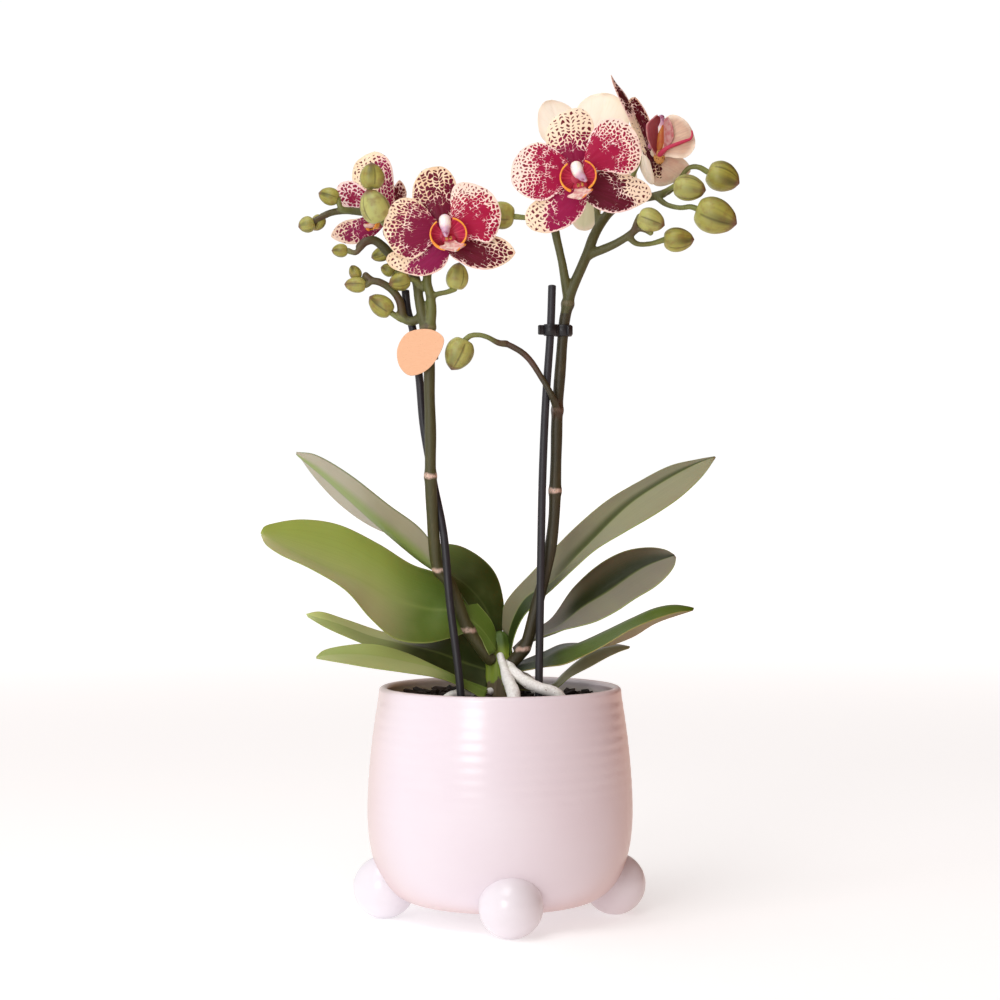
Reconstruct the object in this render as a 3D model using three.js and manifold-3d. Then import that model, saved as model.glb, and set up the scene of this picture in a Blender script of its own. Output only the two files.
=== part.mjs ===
// Moth orchid in a glazed pot on ball feet. Millimetres, +Z up, front towards -Y.
// The origin is on the ground under the middle of the pot.
import * as THREE from 'three';
import { mergeVertices } from 'three/addons/utils/BufferGeometryUtils.js';
import Module from 'manifold-3d';

// Driving dimensions
const SEAT_GAP = 0.3;
const POT_BASE_RADIUS = 35;
const POT_BASE_Z = 7.5;
const POT_BELLY_RADIUS = 63;
const POT_RIM_Z = 109.4;
const POT_RIM_BEAD = 2.2;
const POT_RIM_RADIUS = 55.8;
const POT_WALL = 4.5;
const POT_FLOOR_Z = 15;
const POT_SIDES = 28;
const FOOT_CIRCLE_RADIUS = 55;
const FOOT_RADIUS = 14.8;
const FOOT_CENTRE_Z = 14.3;
const FOOT_TURN = THREE.MathUtils.degToRad(-84.8);
const BARK_TOP_Z = 104.4;
const LEAF_RIB_THICKNESS = 2;
const LEAF_EDGE_THICKNESS = 0.9;
const LEAF_ROWS = 11;
const LEAF_LEAST_REACH = 1.5;
const TEPAL_THICKNESS = 0.8;
const TEPAL_ROW_STEP = 4.5;
const TEPAL_COLUMNS = 3;
const LAST_ROW = 0.97;
const SEPAL_BOW = 1;
const PETAL_BOW = 1.8;
const PETAL_LAYER = 1.6;
const MARGIN_START = 0.3;
const HUB_RADIUS = 3.2;
const CUP_HALF_WIDTH = 8.3;
const CUP_HALF_HEIGHT = 7.2;
const CUP_BACK = 4.4;
const CUP_DEPTH = 5.4;
const STEM_RADIUS = 2.8;
const FORK_RADIUS = 2.3;
const BRANCH_RADIUS = 2;
const TWIG_RADIUS = 1.5;
const PEDICEL_RADIUS = 1.35;
const STAKE_RADIUS = 1.9;
const STAKE_FOOT_Z = 56;
const CROWN_FOOT_Z = 90;
const CARD_THICKNESS = 1.1;

const COLUMN_RADII = [1.7, 2.5, 2.8, 2.3, 1.2];
// Half widths of a lip's middle lobe at shares of its length
const MIDDLE_LOBE = [[0, 2.4], [0.25, 2.8], [0.5, 4.8], [0.66, 6.6], [0.78, 3.8], [1, 0.6]];

const wasm = await Module();
wasm.setup();

const at = (p) => new THREE.Vector3(p[0], p[1], p[2]);

function solidOf(geometry) {
  const bare = new THREE.BufferGeometry();
  bare.setAttribute('position', geometry.getAttribute('position'));
  bare.setIndex(geometry.getIndex());
  const merged = mergeVertices(bare, 1e-4);
  const mesh = new wasm.Mesh({
    numProp: 3,
    vertProperties: new Float32Array(merged.getAttribute('position').array),
    triVerts: new Uint32Array(merged.getIndex().array),
  });
  mesh.merge();
  return new wasm.Manifold(mesh);
}

function geometryOf(solid) {
  const mesh = solid.getMesh();
  const geometry = new THREE.BufferGeometry();
  geometry.setAttribute('position', new THREE.BufferAttribute(new Float32Array(mesh.vertProperties), 3));
  geometry.setIndex(new THREE.BufferAttribute(new Uint32Array(mesh.triVerts), 1));
  geometry.computeVertexNormals();
  return geometry;
}

function joined(solids) {
  return solids.reduce((sum, next) => sum.add(next));
}

// A turned form about the Z axis
function turned(profile, sides) {
  const geometry = new THREE.LatheGeometry(profile, sides);
  geometry.rotateX(Math.PI / 2);
  return geometry;
}

// What is left of a solid after its neighbours are taken out, without the loose crumbs
function carved(solid, tools) {
  const rest = tools.reduce((sum, tool) => sum.subtract(tool), solid);
  const bodies = rest.decompose();
  return bodies.reduce((best, body) => (body.volume() > best.volume() ? body : best));
}

// A round tube along a path. The radius runs from the first value to the last, and margin makes
// the wider and longer form that leaves a gap around it.
function tube(points, radii, options = {}) {
  const { sides = 8, steps = 12, margin = 0 } = options;
  const curve = new THREE.CatmullRomCurve3(points.map(at));
  const list = Array.isArray(radii) ? radii : [radii, radii];
  const outline = [];
  for (let i = 0; i < sides; i += 1) {
    const turn = (i / sides) * Math.PI * 2;
    outline.push(new THREE.Vector2(Math.cos(turn), Math.sin(turn)));
  }
  const geometry = new THREE.ExtrudeGeometry(new THREE.Shape(outline), {
    steps, bevelEnabled: false, extrudePath: curve,
  });
  const centres = [];
  for (let i = 0; i <= steps; i += 1) {
    centres.push({ middle: curve.getPointAt(i / steps), along: curve.getTangentAt(i / steps) });
  }
  const position = geometry.getAttribute('position');
  const spot = new THREE.Vector3();
  for (let i = 0; i < position.count; i += 1) {
    spot.fromBufferAttribute(position, i);
    let ring = 0;
    let best = Infinity;
    centres.forEach((centre, index) => {
      const reach = spot.distanceTo(centre.middle);
      const miss = Math.abs(reach - 1) + Math.abs(spot.clone().sub(centre.middle).dot(centre.along));
      if (miss < best) {
        best = miss;
        ring = index;
      }
    });
    const along = (ring / steps) * (list.length - 1);
    const low = Math.min(Math.floor(along), list.length - 2);
    const radius = THREE.MathUtils.lerp(list[low], list[low + 1], along - low) + margin;
    spot.sub(centres[ring].middle).multiplyScalar(radius).add(centres[ring].middle);
    if (ring === 0) spot.addScaledVector(centres[ring].along, -margin);
    if (ring === steps) spot.addScaledVector(centres[ring].along, margin);
    position.setXYZ(i, spot.x, spot.y, spot.z);
  }
  return solidOf(geometry);
}

// A thin closed blade over rows of points, with the same diagonals on both faces
function blade(rows, thicknessAt) {
  const count = rows.length;
  const across = rows[0].length;
  const front = [];
  const back = [];
  for (let i = 0; i < count; i += 1) {
    for (let j = 0; j < across; j += 1) {
      const along = rows[Math.min(i + 1, count - 1)][j].clone().sub(rows[Math.max(i - 1, 0)][j]);
      const side = rows[i][Math.min(j + 1, across - 1)].clone().sub(rows[i][Math.max(j - 1, 0)]);
      const normal = side.cross(along).normalize();
      const half = thicknessAt(i / (count - 1), j / (across - 1)) / 2;
      front.push(rows[i][j].clone().addScaledVector(normal, half));
      back.push(rows[i][j].clone().addScaledVector(normal, -half));
    }
  }
  const points = front.concat(back);
  const base = count * across;
  const faces = [];
  const cell = (a, b, c, d) => faces.push(a, b, c, a, c, d);
  for (let i = 0; i < count - 1; i += 1) {
    for (let j = 0; j < across - 1; j += 1) {
      const a = i * across + j;
      const b = a + 1;
      const c = b + across;
      const d = a + across;
      cell(a, b, c, d);
      faces.push(base + a, base + c, base + b, base + a, base + d, base + c);
    }
  }
  const rim = [];
  for (let j = 0; j < across - 1; j += 1) rim.push(j);
  for (let i = 0; i < count - 1; i += 1) rim.push(i * across + across - 1);
  for (let j = across - 1; j > 0; j -= 1) rim.push((count - 1) * across + j);
  for (let i = count - 1; i > 0; i -= 1) rim.push(i * across);
  rim.forEach((here, index) => {
    const next = rim[(index + 1) % rim.length];
    cell(here, here + base, next + base, next);
  });
  const geometry = new THREE.BufferGeometry();
  const flat = points.flatMap((p) => [p.x, p.y, p.z]);
  geometry.setAttribute('position', new THREE.BufferAttribute(new Float32Array(flat), 3));
  geometry.setIndex(faces);
  return solidOf(geometry);
}

// A strap leaf over its far margin, midrib and near margin
function leaf(shape, extra = 0) {
  const rails = [shape.far, shape.mid, shape.near].map((rail) => new THREE.CatmullRomCurve3(rail.map(at)));
  const rows = [];
  let farSide = new THREE.Vector3(0, 1, 0);
  let nearSide = new THREE.Vector3(0, -1, 0);
  for (let i = 0; i < LEAF_ROWS; i += 1) {
    const t = i / (LEAF_ROWS - 1);
    const [far, mid, near] = rails.map((rail) => rail.getPointAt(t));
    const farReach = far.clone().sub(mid);
    const nearReach = near.clone().sub(mid);
    if (farReach.length() > LEAF_LEAST_REACH) farSide = farReach.clone().normalize();
    else farReach.copy(farSide).multiplyScalar(LEAF_LEAST_REACH);
    if (nearReach.length() > LEAF_LEAST_REACH) nearSide = nearReach.clone().normalize();
    else nearReach.copy(nearSide).multiplyScalar(LEAF_LEAST_REACH);
    farReach.setLength(farReach.length() + extra);
    nearReach.setLength(nearReach.length() + extra);
    const sag = (shape.sag || 0) * Math.max(0, 1 - t / (shape.sagEnd || 1));
    const farMiddle = mid.clone().addScaledVector(farReach, 0.5);
    const nearMiddle = mid.clone().addScaledVector(nearReach, 0.5);
    nearMiddle.add(new THREE.Vector3(0, -0.5, -0.85).multiplyScalar(sag));
    rows.push([
      mid.clone().add(farReach),
      farMiddle,
      mid,
      nearMiddle,
      mid.clone().add(nearReach),
    ]);
  }
  const thicknessAt = (along, side) => {
    const rib = 1 - Math.abs(side - 0.5) * 2;
    return THREE.MathUtils.lerp(LEAF_EDGE_THICKNESS, LEAF_RIB_THICKNESS, rib) + 2 * extra;
  };
  return blade(rows, thicknessAt);
}

// Rows of points between a left and a right margin that meet at a tip. depthAt gives how far back
// each point lies, from its share of the length and its place across, from -1 to 1.
function sheetRows(centre, piece, rowCount, columnCount, depthAt) {
  const [left, right] = [piece.left, piece.right].map((side) => (
    new THREE.CatmullRomCurve3([...side, piece.tip].map(([x, z]) => new THREE.Vector3(x, 0, z)))
  ));
  const rows = [];
  for (let i = 0; i < rowCount; i += 1) {
    const t = LAST_ROW * Math.sin(((i / (rowCount - 1)) * Math.PI) / 2);
    const [start, end] = [left.getPointAt(t), right.getPointAt(t)];
    const row = [];
    for (let j = 0; j < columnCount; j += 1) {
      const a = (j / (columnCount - 1)) * 2 - 1;
      const spot = start.clone().lerp(end, (a + 1) / 2);
      spot.y = depthAt(t, a);
      row.push(spot.add(centre));
    }
    rows.push(row);
  }
  return rows;
}

// One sepal or petal. Its margins begin inside the middle of the flower.
function tepal(centre, piece, margin) {
  const { y = [0, piece.tipY || 1, 0], petal = false, bow = petal ? PETAL_BOW : SEPAL_BOW } = piece;
  const layer = petal && !piece.y ? PETAL_LAYER : 0;
  const cup = bow > 0 ? 1 : 0.3;
  const inner = (side) => [side[0].map((value) => value * MARGIN_START), ...side];
  const outline = { left: inner(piece.left), right: inner(piece.right), tip: piece.tip };
  const rowCount = THREE.MathUtils.clamp(Math.round(Math.hypot(...piece.tip) / TEPAL_ROW_STEP), 4, 7);
  const rows = sheetRows(centre, outline, rowCount, TEPAL_COLUMNS, (t, a) => {
    const lift = layer + bow * Math.sin(Math.PI * t * 0.9) - cup * a * a * Math.sin(Math.PI * t);
    return y[0] + (y[1] - y[0]) * t + y[2] * a * Math.min(1, 2 * t) - lift;
  });
  return blade(rows, () => TEPAL_THICKNESS + 2 * margin);
}

// A round body of three different half sizes
function egg(halfSizes, place, turn) {
  const geometry = new THREE.SphereGeometry(1, 6, 5);
  geometry.scale(...halfSizes);
  if (turn) geometry.applyMatrix4(turn);
  geometry.translate(place.x, place.y, place.z);
  return solidOf(geometry);
}

// The sepals and petals of a flower with its round middle
function tepalsOf(plan, margin) {
  const centre = at(plan.centre);
  const hub = new THREE.SphereGeometry(HUB_RADIUS + margin, 6, 4);
  hub.translate(centre.x, centre.y, centre.z);
  return joined([...plan.tepals.map((piece) => tepal(centre, piece, margin)), solidOf(hub)]);
}

// Lip and column of a flower that is seen from its front or its back
function flowerMiddle(plan) {
  const centre = at(plan.centre);
  const face = at(plan.face).normalize();
  const up = at(plan.up);
  up.addScaledVector(face, -up.dot(face)).normalize();
  const right = face.clone().cross(up).normalize();
  const turn = new THREE.Matrix4().makeBasis(right, face, up);
  const place = (x, y, z) => centre.clone()
    .addScaledVector(right, x)
    .addScaledVector(face, y)
    .addScaledVector(up, z);
  const { cup = [0, -1.4], lean = 0, raise = 0, sway = 0, ears = [[-76, 56], [-70, 66]] } = plan;
  // The column leans forward out of the middle and ends in its rounded cap
  const columnPoints = [[0, 2.7, 0.4], [0, 4.6, 2.6], [0, 7, 3], [0, 9, 0], [0.2 + sway, 10, -4.6]];
  const columnPath = columnPoints.map((p) => place(...p).toArray());
  const column = (margin) => tube(columnPath, COLUMN_RADII, { sides: 6, steps: 5, margin });
  // Each side lobe of the lip is a cupped ear that stands up beside the column
  const ear = (hand, [first, last]) => {
    const rows = [];
    for (let i = 0; i < 4; i += 1) {
      const swing = THREE.MathUtils.degToRad(THREE.MathUtils.lerp(first, last, i / 3));
      const row = [];
      for (let j = 0; j < 3; j += 1) {
        const out = j / 2;
        const wide = Math.sin((0.12 + 0.38 * out) * Math.PI);
        const x = cup[0] * out + hand * CUP_HALF_WIDTH * wide * Math.cos(swing);
        const y = CUP_BACK + CUP_DEPTH * (1 - Math.cos((out * Math.PI) / 2)) + 0.8 * Math.sin(swing) * out;
        row.push(place(x, y, cup[1] + CUP_HALF_HEIGHT * wide * Math.sin(swing)));
      }
      rows.push(row);
    }
    return blade(rows, () => TEPAL_THICKNESS);
  };
  // The middle lobe hangs forward under the cup and widens to an anchor
  const lobe = [];
  MIDDLE_LOBE.forEach(([t, half]) => {
    const row = [];
    for (let j = 0; j < 3; j += 1) {
      const a = j - 1;
      const hook = Math.abs(a) * Math.exp(-(((t - 0.66) / 0.2) ** 2)) * 1.4;
      const ahead = 5.6 + 7.2 * Math.sin(t * 1.35) - hook;
      const drop = -6.2 - 6.2 * Math.sin(t * 1.5) + 0.7 * a * a * Math.sin(t * Math.PI) + hook + raise * t;
      row.push(place(half * a + cup[0] + lean * (ahead - 5), ahead, drop));
    }
    lobe.push(row);
  });
  const base = egg([3.6, 2.2, 2.3], place(cup[0], 5.6, -5.8), turn);
  const lip = joined([ear(1, ears[0]), ear(-1, ears[1]), base, blade(lobe, (t) => 1.8 - 0.8 * t)]);
  return { lip, column: column(0), columnRoom: column(SEAT_GAP) };
}

// Lip and column of a flower that is seen from its side: the lobes stand up beside the column,
// and a thin tongue reaches away from them
function sideMiddle(plan) {
  const centre = at(plan.centre);
  const placed = (points) => points.map((p) => at(p).add(centre).toArray());
  const lobes = plan.lobes.map((piece) => blade(
    sheetRows(centre, piece, 4, 3, (t, a) => (
      piece.y[0] + (piece.y[1] - piece.y[0]) * t + piece.y[2] * a - 1.2 * (1 - a * a) * Math.sin(Math.PI * t)
    )),
    () => TEPAL_THICKNESS,
  ));
  const callus = egg([2.7, 1.6, 3.4], centre.clone().add(at(plan.callus)));
  const tongue = tube(placed(plan.tongue), [1.4, 1.1, 0.9, 0.8, 0.5], { sides: 4, steps: 6 });
  const column = (margin) => tube(placed(plan.column), [1.6, 1.8, 2.3, 1.6], { sides: 6, steps: 5, margin });
  return { lip: joined([...lobes, callus, tongue]), column: column(0), columnRoom: column(SEAT_GAP) };
}

function flower(plan) {
  const middle = plan.lobes ? sideMiddle(plan) : flowerMiddle(plan);
  return { tepals: tepalsOf(plan, 0), tepalRoom: tepalsOf(plan, SEAT_GAP), ...middle };
}

// The turn that brings the Y axis into a direction
function turnTo(direction) {
  return new THREE.Quaternion().setFromUnitVectors(new THREE.Vector3(0, 1, 0), direction.normalize());
}

// A plump bud from its base to its tip
function bud(base, tip, width) {
  const start = at(base);
  const end = at(tip);
  const length = start.distanceTo(end);
  const r = width / 2;
  const profile = [[0, 0], [0.6, 0.07], [0.97, 0.32], [0.96, 0.56], [0.6, 0.87], [0, 1]];
  const outline = profile.map(([out, along]) => new THREE.Vector2(out * r, along * length));
  const geometry = new THREE.LatheGeometry(outline, 6);
  geometry.applyQuaternion(turnTo(end.sub(start)));
  geometry.translate(start.x, start.y, start.z);
  return solidOf(geometry);
}

// A low ring where a stem has its node
function nodeRing(place, direction, radius, height) {
  const outline = [[0, -0.5], [0.85, -0.5], [1, 0.05], [0.85, 0.5], [0, 0.5]];
  const profile = outline.map(([out, along]) => new THREE.Vector2(out * radius, along * height));
  const geometry = new THREE.LatheGeometry(profile, 6);
  geometry.applyQuaternion(turnTo(at(direction)));
  geometry.translate(place[0], place[1], place[2]);
  return solidOf(geometry);
}

const plant = new THREE.Group();

function addPiece(name, solid, look) {
  const material = new THREE.MeshStandardMaterial({
    color: look.color, roughness: look.roughness, metalness: look.metalness || 0,
  });
  const mesh = new THREE.Mesh(geometryOf(solid), material);
  mesh.name = name;
  plant.add(mesh);
  return mesh;
}

const GLAZE = { color: 0xefe6ec, roughness: 0.15 };
const BARK = { color: 0x4b3428, roughness: 0.95 };
const CROWN = { color: 0x9aa64a, roughness: 0.6 };
const ROOT = { color: 0xb4b4aa, roughness: 0.8 };
const LEAF = { color: 0x4a5a24, roughness: 0.4 };
const LEAF_PALE = { color: 0x8f9a52, roughness: 0.45 };
const STEM = { color: 0x6c6a3a, roughness: 0.55 };
const STAKE = { color: 0x2a2a2c, roughness: 0.6 };
const CLIP = { color: 0x1c1c1e, roughness: 0.4 };
const CARD = { color: 0xf7c8a5, roughness: 0.7 };
const TEPAL = { color: 0xf0d6b0, roughness: 0.55 };
const LIP = { color: 0xb01f56, roughness: 0.5 };
const COLUMN = { color: 0xf2dce2, roughness: 0.5 };
const BUD = { color: 0x8d823e, roughness: 0.5 };

// Pot
const potOuter = [
  [0, POT_BASE_Z], [POT_BASE_RADIUS, POT_BASE_Z], [44, 8.6], [50, 11.5], [55, 16.5], [59, 24], [61.6, 33.5],
  [POT_BELLY_RADIUS, 50], [62, 72], [59.8, 90], [57.9, 103],
];
const potProfile = potOuter.map(([r, z]) => new THREE.Vector2(r, z));
for (const degrees of [5, 60, 120, 175]) {
  const turn = THREE.MathUtils.degToRad(degrees);
  const out = POT_RIM_RADIUS + POT_RIM_BEAD * Math.cos(turn);
  potProfile.push(new THREE.Vector2(out, POT_RIM_Z - POT_RIM_BEAD * (1 - Math.sin(turn))));
}
const potInner = [
  [53.4, 103], [POT_BELLY_RADIUS - POT_WALL, 60], [54, 36], [46.5, 27.5],
  [39, 18], [36, POT_FLOOR_Z], [0, POT_FLOOR_Z],
];
potInner.forEach(([r, z]) => potProfile.push(new THREE.Vector2(r, z)));
const potBowl = solidOf(turned(potProfile, POT_SIDES));
const potRoomProfile = potInner.map(([r, z]) => new THREE.Vector2(Math.max(r - SEAT_GAP - 0.1, 0), z));
potRoomProfile[potRoomProfile.length - 1].y = POT_FLOOR_Z + SEAT_GAP;
potRoomProfile[potRoomProfile.length - 2].y = POT_FLOOR_Z + SEAT_GAP;
const ground = new THREE.BoxGeometry(300, 300, 40);
ground.translate(0, 0, -20);
const feet = [];
for (let i = 0; i < 4; i += 1) {
  const turn = FOOT_TURN + (i * Math.PI) / 2;
  const ball = new THREE.SphereGeometry(FOOT_RADIUS, 11, 8);
  ball.rotateX(Math.PI / 2);
  ball.translate(FOOT_CIRCLE_RADIUS * Math.cos(turn), FOOT_CIRCLE_RADIUS * Math.sin(turn), FOOT_CENTRE_Z);
  feet.push(solidOf(ball).subtract(solidOf(ground)));
}
const pot = joined([potBowl, ...feet]);

// Support sticks
const stakeLeftPath = [
  [-17, -21.5, STAKE_FOOT_Z], [-18.2, -21.5, 106], [-23.6, -17, 151], [-26.5, -13.5, 182],
  [-31.5, -11.5, 207], [-36, -11, 233], [-38, -11, 255.5], [-41, -10.5, 278], [-43.5, -10, 287],
  [-44.5, -10, 296],
];
const stakeRightPath = [
  [18, -14, STAKE_FOOT_Z], [18.2, -14, 104], [18.9, -14, 151], [19.9, -14, 207], [21.5, -14, 245],
  [23.7, -14, 277.5], [24.4, -14, 298],
];
const stakeLeft = (margin) => tube(stakeLeftPath, STAKE_RADIUS, { sides: 7, steps: 11, margin });
const stakeRight = (margin) => tube(stakeRightPath, STAKE_RADIUS, { sides: 7, steps: 7, margin });

// Crown, an oval stub with its foot in the bark
const crownProfile = [
  [0, CROWN_FOOT_Z], [5.5, CROWN_FOOT_Z], [7.2, 98], [7.4, 108], [7, 116], [6.2, 123], [5, 129], [3.8, 133],
  [1.8, 135], [0, 135.4],
];
function crownSolid(margin) {
  const profile = crownProfile.map(([r, z], index) => {
    const first = index < 2;
    const last = index > crownProfile.length - 3;
    const wide = r === 0 ? 0 : r + margin * 1.3;
    return new THREE.Vector2(wide, z + (first ? -margin : 0) + (last ? margin : 0));
  });
  const geometry = turned(profile, 10);
  geometry.scale(1, 0.78, 1);
  return solidOf(geometry);
}

// Roots
const rootPaths = {
  root_front: [
    [0, -4, 124], [1, -7, 121], [2.6, -11, 116.5], [4, -16, 113], [6.3, -24, 107.5], [7, -29, 100],
    [7, -30, 95],
  ],
  root_right: [
    [4, -3.5, 120.7], [5.6, -8.5, 118], [9.8, -14.5, 114.3], [13.8, -18.3, 111.9], [19.8, -20.3, 109.7],
    [26, -21, 107.9], [31, -21, 101], [31.5, -21, 95],
  ],
  root_back: [[4, 0, 116], [9, -2.5, 115], [14, -5.5, 112.5], [17, -8.5, 106], [17.5, -9, 97]],
  root_left: [
    [-2, -2, 107.5], [-10, -9, 106.5], [-20, -14.5, 107], [-25, -18.5, 105], [-29, -20, 99],
    [-30, -20, 95],
  ],
};
const rootRadii = {
  root_front: [1.7, 2, 2.8, 3.2, 3.2, 2.8],
  root_right: [1.8, 2.4, 2.7, 2.7, 2.6, 2.4],
  root_back: [1.6, 1.9, 2, 2, 1.8],
  root_left: [1.7, 2, 2, 2, 1.8],
};
const root = (name, margin) => tube(rootPaths[name], rootRadii[name], { sides: 6, steps: 8, margin });

// Flower spikes: each run is a path, its radius and its number of steps
const leftRuns = [
  [[
    [-4.5, -4.5, 122], [-6.5, -5.5, 124.5], [-10.5, -6.5, 130], [-15.5, -7.5, 137.5], [-19.5, -8.5, 147.5],
    [-24.5, -9, 159.5], [-29, -10, 165], [-31, -12.5, 179], [-32, -15.5, 195.5], [-32.5, -17.5, 209.5],
    [-32.5, -18, 230.5], [-33, -18, 249.5], [-33, -18, 263.5], [-33.5, -18, 279],
  ], [STEM_RADIUS + 0.3, STEM_RADIUS, STEM_RADIUS - 0.2], 15],
  [[
    [-33.5, -18, 275], [-32, -18, 285.5], [-32.5, -17.5, 293], [-34, -17, 299.5], [-33.5, -16, 306.5],
    [-31, -16, 314], [-27, -17.5, 320.5], [-25.3, -19.8, 323.6],
  ], [FORK_RADIUS + 0.3, FORK_RADIUS, BRANCH_RADIUS, PEDICEL_RADIUS], 8],
  [[
    [-33.5, -18, 274], [-36.5, -17, 285], [-38, -16, 292.5], [-39, -14, 299.5], [-43, -11, 309.5],
    [-48, -9, 320], [-52.5, -9, 328], [-58.5, -10, 332.5], [-65, -11, 333], [-72.5, -12, 333.5],
    [-79, -13, 332.5], [-83, -14, 330.5], [-87, -15, 328.5],
  ], [FORK_RADIUS + 0.3, FORK_RADIUS, BRANCH_RADIUS, BRANCH_RADIUS, PEDICEL_RADIUS], 10],
  [[
    [-35.5, -17, 284.5], [-41, -14.5, 281.5], [-45, -14, 283], [-47, -15, 291], [-50.5, -16, 296],
    [-56, -17, 299.5], [-60, -17, 300.5], [-63, -17, 303],
  ], [BRANCH_RADIUS + 0.2, BRANCH_RADIUS, 1.6], 7],
  [[
    [-42.5, -11, 309], [-47.5, -13, 311.5], [-51.5, -15, 313], [-54.5, -17, 316], [-59, -19, 319],
    [-63, -20, 318], [-65.5, -20, 315.5],
  ], [BRANCH_RADIUS, BRANCH_RADIUS + 0.3, BRANCH_RADIUS], 6],
];
const leftStalks = [
  [[-60, -17, 300.5], [-61.5, -17.5, 298.5], [-63, -17, 298]],
  [[-62, -17, 302], [-65.5, -16, 300.5], [-66.5, -16, 301.5]],
  [[-64.5, -20, 316.5], [-67, -20.5, 313], [-71, -20, 314]],
  [[-41, -14.5, 281.5], [-44, -14, 281.5], [-47, -14.5, 282.5], [-51, -14, 285.5]],
  [[-33, -17.5, 292.5], [-29, -18, 294], [-24.5, -17.5, 295], [-21, -17, 296.5]],
  [[-51.5, -9.5, 326], [-54, -16, 326.5], [-55, -21.5, 328]],
  [[-60, -10.5, 333], [-62, -15, 336.5], [-61, -18.5, 342], [-60.5, -19.8, 343.5]],
  [[-70, -12, 333.5], [-74.5, -14.5, 334.5], [-76, -14, 339]],
  [[-78, -13, 332.7], [-81, -12, 332.4], [-83.6, -11.5, 331]],
  [[-49, -9, 321.5], [-50.5, -5, 327], [-52.2, 0, 333.2]],
  [[-49, -14, 312], [-50.5, -12.5, 313.5], [-52, -12, 314.5]],
  [[-41, -11.5, 305], [-45, -11, 304], [-49.5, -12, 304.5]],
  [[-36, -15.5, 297], [-39, -17.5, 300], [-42.5, -19, 301]],
];
const rightRuns = [
  [[
    [4.5, -3.5, 119], [7, -4.2, 122], [10, -5.5, 125.5], [12.5, -6.5, 130], [15, -7.5, 139], [18, -8, 150.5],
    [21.5, -8, 164], [24, -8.5, 176.5], [25.5, -9, 190.5], [26, -9, 203.5], [26.5, -9, 221.5],
    [27, -9, 240], [28.5, -9, 260.5], [29.5, -9, 274], [30.5, -9, 283], [32, -9.5, 290],
  ], [STEM_RADIUS + 0.2, STEM_RADIUS, STEM_RADIUS - 0.2], 13],
  [[
    [31, -9.2, 286], [33, -10, 294.5], [38.5, -9, 307.5], [41.5, -8, 314.5], [44, -7, 321.5],
    [47.5, -5, 328], [53.5, -1, 335.5], [62, 3, 340], [72, 5, 342], [78, 5, 343.5],
  ], [STEM_RADIUS - 0.2, FORK_RADIUS + 0.2, FORK_RADIUS, BRANCH_RADIUS], 10],
  [[
    [32, -9.5, 292], [29.5, -11, 307.5], [28, -11.5, 314.5], [26.5, -12, 321], [25.5, -12.5, 328.5],
    [28.5, -14, 338.5], [33, -17.5, 345], [36, -19.8, 348.3],
  ], [FORK_RADIUS, BRANCH_RADIUS, BRANCH_RADIUS, PEDICEL_RADIUS], 9],
  [[
    [40.5, -8.2, 312], [44, -8.5, 314], [48, -9, 315.5], [54, -11, 318], [60, -13, 321.5], [65, -15, 325.5],
  ], [BRANCH_RADIUS + 0.2, BRANCH_RADIUS - 0.2], 6],
  [[
    [26.8, -9.2, 238], [26.2, -13, 241.5], [24, -17.3, 247], [19.4, -16.8, 255], [14.3, -15.5, 262.9],
    [10.5, -15, 266.7], [5, -14.5, 270], [2.1, -14.2, 271.2],
  ], [BRANCH_RADIUS, TWIG_RADIUS, TWIG_RADIUS, TWIG_RADIUS], 8],
];
const rightStalks = [
  [[76, 5, 343], [81, 6, 345], [86, 5.5, 351], [90, 5, 355.8], [94.5, 4, 356], [99, 4, 353.6]],
  [[74, 5, 342.5], [79, 1.5, 338], [85.5, -2, 336], [90, -3.7, 336.3], [93.5, -4, 335.2]],
  [[77, 5, 343.5], [80.2, 1, 345.2], [82.8, -3, 346.2]],
  [[60, -13, 321.5], [64, -13, 318], [70.5, -12, 318], [77.5, -12, 320]],
  [[62.5, -14.5, 323.5], [63.6, -16.6, 327.5], [65.2, -17, 330.4]],
  [[64, -15, 325], [67.5, -16.5, 324], [70.5, -18, 322.5]],
  [[3, -14.2, 271], [-0.5, -15, 271.3], [-6, -16, 274], [-10, -16, 275], [-14, -16, 274.5], [-17, -16, 272]],
  [[25.5, -12.5, 328.5], [19, -13, 329.5], [12.5, -14, 330], [6.5, -14, 330.5]],
  [[46.5, -5.5, 326], [45.5, 0, 338], [42.5, 5, 352], [41, 7.4, 360]],
  [[58, 1.5, 338], [61.5, 3, 347], [64.5, 4.2, 355], [67, 4.6, 361]],
];
const leftRings = [
  [[-14.9, -7.5, 136.4], [5, -1, 10], 3.6, 5],
  [[-33.4, -18, 278.5], [0, 0, 1], 3.5, 4],
];
const rightRings = [
  [[11.4, -6.1, 127.4], [2.5, -1, 5.2], 3.5, 5],
  [[26, -9, 202], [0.3, 0, 10], 3.4, 5],
];
function spike(runs, stalks, rings, margin) {
  const stems = runs.map(([path, radii, steps]) => tube(path, radii, { sides: 6, steps, margin }));
  const thin = stalks.map((path) => (
    tube(path, [PEDICEL_RADIUS + 0.2, PEDICEL_RADIUS], { sides: 4, steps: path.length - 1, margin })
  ));
  const bands = rings.map(([place, direction, radius, height]) => (
    nodeRing(place, direction, radius + margin, height + 2 * margin)
  ));
  return joined([...stems, ...thin, ...bands]);
}

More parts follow.
